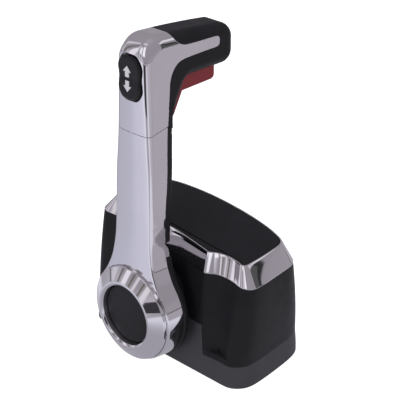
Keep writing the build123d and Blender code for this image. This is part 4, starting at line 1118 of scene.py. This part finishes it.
AZ_RING = [(-180, lilac(0.42)), (-160, lilac(0.50, 1.12, 1.0, 0.99)), (-150, lilac(0.58, 1.14, 1.0, 0.99)), (-140, lilac(0.60, 1.16, 1.0, 1.0)),
           (-126, lilac(0.72, 1.16, 1.0, 1.0)), (-110, lilac(0.86, 1.12, 1.0, 1.0)), (-96, lilac(0.98, 1.1, 1.0, 1.0)), (-84, lilac(0.66)),
           (-70, lilac(0.45)), (-52, lilac(0.42)), (-38, lilac(0.46)), (-20, lilac(0.58)), (0, lilac(0.53)), (20, lilac(0.46)), (45, lilac(0.50)),
           (100, lilac(0.52)), (180, lilac(0.42))]

gm, gnt, gem, (gx, gy, gz) = glow_material("floor_reflector")
ang = math_node(gnt, "MULTIPLY", math_node(gnt, "ARCTAN2", math_node(gnt, "ADD", gy, 0.055), gx), 180 / math.pi)
ring_col = ramp_node(gnt, ang, AZ_RING, -180, 180)


def line_dist(nx, ny, px, py):
    return math_node(gnt, "SUBTRACT", math_node(gnt, "ADD", math_node(gnt, "MULTIPLY", gx, nx), math_node(gnt, "MULTIPLY", gy, ny)), nx * px + ny * py)


away = math_node(gnt, "MAXIMUM", line_dist(0.795, 0.606, 0.165, 0.036), line_dist(-0.614, -0.789, -0.037, -0.164))
away = math_node(gnt, "MAXIMUM", away, line_dist(-0.704, 0.710, -0.06, 0.08))
fade = gnt.nodes.new("ShaderNodeMapRange")
fade.interpolation_type = "SMOOTHSTEP"
fade.inputs["From Min"].default_value = 0.0
fade.inputs["From Max"].default_value = 0.06
gnt.links.new(away, fade.inputs["Value"])
# painted shadow: close to the lever's foot the floor reflector glows darker, standing in for the control's own shade
# on the floor as the chrome sees it
dx2 = math_node(gnt, "MULTIPLY", gx, gx)
dy1 = math_node(gnt, "ADD", gy, 0.075)
dist = math_node(gnt, "SQRT", math_node(gnt, "ADD", dx2, math_node(gnt, "MULTIPLY", dy1, dy1)))
painted_shade_near = gnt.nodes.new("ShaderNodeMapRange")
painted_shade_near.interpolation_type = "SMOOTHSTEP"
painted_shade_near.inputs["From Min"].default_value = 0.045
painted_shade_near.inputs["From Max"].default_value = 0.19
gnt.links.new(dist, painted_shade_near.inputs["Value"])
pale_with_painted_shade = mix_color(gnt, painted_shade_near.outputs["Result"], (0.43, 0.42, 0.47), (0.82, 0.81, 0.90))
gnt.links.new(mix_color(gnt, fade.outputs["Result"], pale_with_painted_shade, ring_col), gem.inputs["Color"])
reflector(stage_plane("floor_reflector", [(-5.5, -5.5, 0.0004), (5.5, -5.5, 0.0004), (5.5, 5.5, 0.0004), (-5.5, 5.5, 0.0004)], gm))

sm, snt, sem, (sx, sy, sz) = glow_material("sky_reflector")
hor = math_node(snt, "SQRT", math_node(snt, "ADD", math_node(snt, "MULTIPLY", sx, sx), math_node(snt, "MULTIPLY", sy, sy)))
elev = math_node(snt, "MULTIPLY", math_node(snt, "ARCTAN2", sz, hor), 180 / math.pi)
azim = math_node(snt, "MULTIPLY", math_node(snt, "ARCTAN2", sy, sx), 180 / math.pi)
low = ramp_node(snt, azim, [(-180, lilac(0.40)), (-145, lilac(0.55)), (-110, lilac(0.60)), (-80, lilac(0.58)), (-65, lilac(0.34)), (-40, lilac(0.36)),
                            (-10, lilac(0.40)), (40, lilac(0.40)), (120, lilac(0.42)), (180, lilac(0.40))], -180, 180)
high = ramp_node(snt, elev, [(0, lilac(0.38)), (25, lilac(0.36)), (60, lilac(0.38)), (90, lilac(0.46))], -90, 90)
rise = snt.nodes.new("ShaderNodeMapRange")
rise.interpolation_type = "SMOOTHSTEP"
rise.inputs["From Min"].default_value = 8.0
rise.inputs["From Max"].default_value = 24.0
snt.links.new(elev, rise.inputs["Value"])
sky = mix_color(snt, rise.outputs["Result"], low, high)


def box_mask(a0, a1, e0, e1, soft):
    """1 inside a rectangle of directions, falling off over soft degrees."""
    out = None
    for value, lo, hi in ((azim, a0, a1), (elev, e0, e1)):
        d = math_node(snt, "SUBTRACT", math_node(snt, "ABSOLUTE", math_node(snt, "SUBTRACT", value, 0.5 * (lo + hi))), 0.5 * (hi - lo))
        mr = snt.nodes.new("ShaderNodeMapRange")
        mr.interpolation_type = "SMOOTHSTEP"
        mr.inputs["From Min"].default_value = soft
        mr.inputs["From Max"].default_value = -soft
        snt.links.new(d, mr.inputs["Value"])
        out = mr.outputs["Result"] if out is None else math_node(snt, "MULTIPLY", out, mr.outputs["Result"])
    return out


# soft boxes and flags as directions: azimuth from, to, elevation from, to, softness, colour
BOXES = [(-112, -86, 30, 52, 3, (1.05, 1.03, 1.1)), (-78, -56, 30, 56, 3, (1.15, 1.13, 1.2)), (-125, -45, 64, 74, 3, (0.75, 0.73, 0.78)),
         (-160, -151, 3, 50, 1.5, (0.72, 0.70, 0.75)), (-144, -141, 3, 50, 1.0, (0.17, 0.155, 0.15)), (-136, -127, 3, 50, 1.5, (0.95, 0.92, 0.97)),
         (-121, -118, 3, 28, 0.8, (0.18, 0.15, 0.13)), (-113, -108, 3, 28, 1.0, (0.80, 0.77, 0.80)), (-100, -97, 3, 28, 0.8, (0.19, 0.17, 0.15)),
         (-94, -87, 3, 28, 1.0, (0.85, 0.82, 0.85)), (34, 66, 34, 42, 2.5, (0.95, 0.92, 0.97)), (-180, 180, -0.8, 1.6, 1.0, (0.11, 0.10, 0.095)),
         (33.5, 47.5, 5, 31, 0.6, (0.03, 0.03, 0.032)), (35.5, 45.0, 5, 31, 0.5, (0.10, 0.102, 0.10))]
for a0, a1, e0, e1, soft, col in BOXES:
    sky = mix_color(snt, box_mask(a0, a1, e0, e1, soft), sky, col)
snt.links.new(sky, sem.inputs["Color"])
bm = bmesh.new()
bmesh.ops.create_icosphere(bm, subdivisions=5, radius=4.0)
me = bpy.data.meshes.new("sky_reflector")
bm.to_mesh(me)
bm.free()
dome_ob = bpy.data.objects.new("sky_reflector", me)
bpy.context.scene.collection.objects.link(dome_ob)
me.materials.append(sm)
reflector(dome_ob)

# a dark flag low in front of the control (position, width, height from, to)
FLAGS = [(0.185, -0.57, 0.26, 0.0, 0.135)]
km, knt, kem, _ = glow_material("flag_dark")
kem.inputs["Color"].default_value = (0.05, 0.047, 0.052, 1)
for i, (px, py, wide, z0, z1) in enumerate(FLAGS):
    d = math.hypot(px, py)
    tx, ty = -py / d * wide / 2, px / d * wide / 2
    reflector(stage_plane("flag_%d" % i, [(px - tx, py - ty, z0), (px + tx, py + ty, z0), (px + tx, py + ty, z1), (px - tx, py - ty, z1)], km))
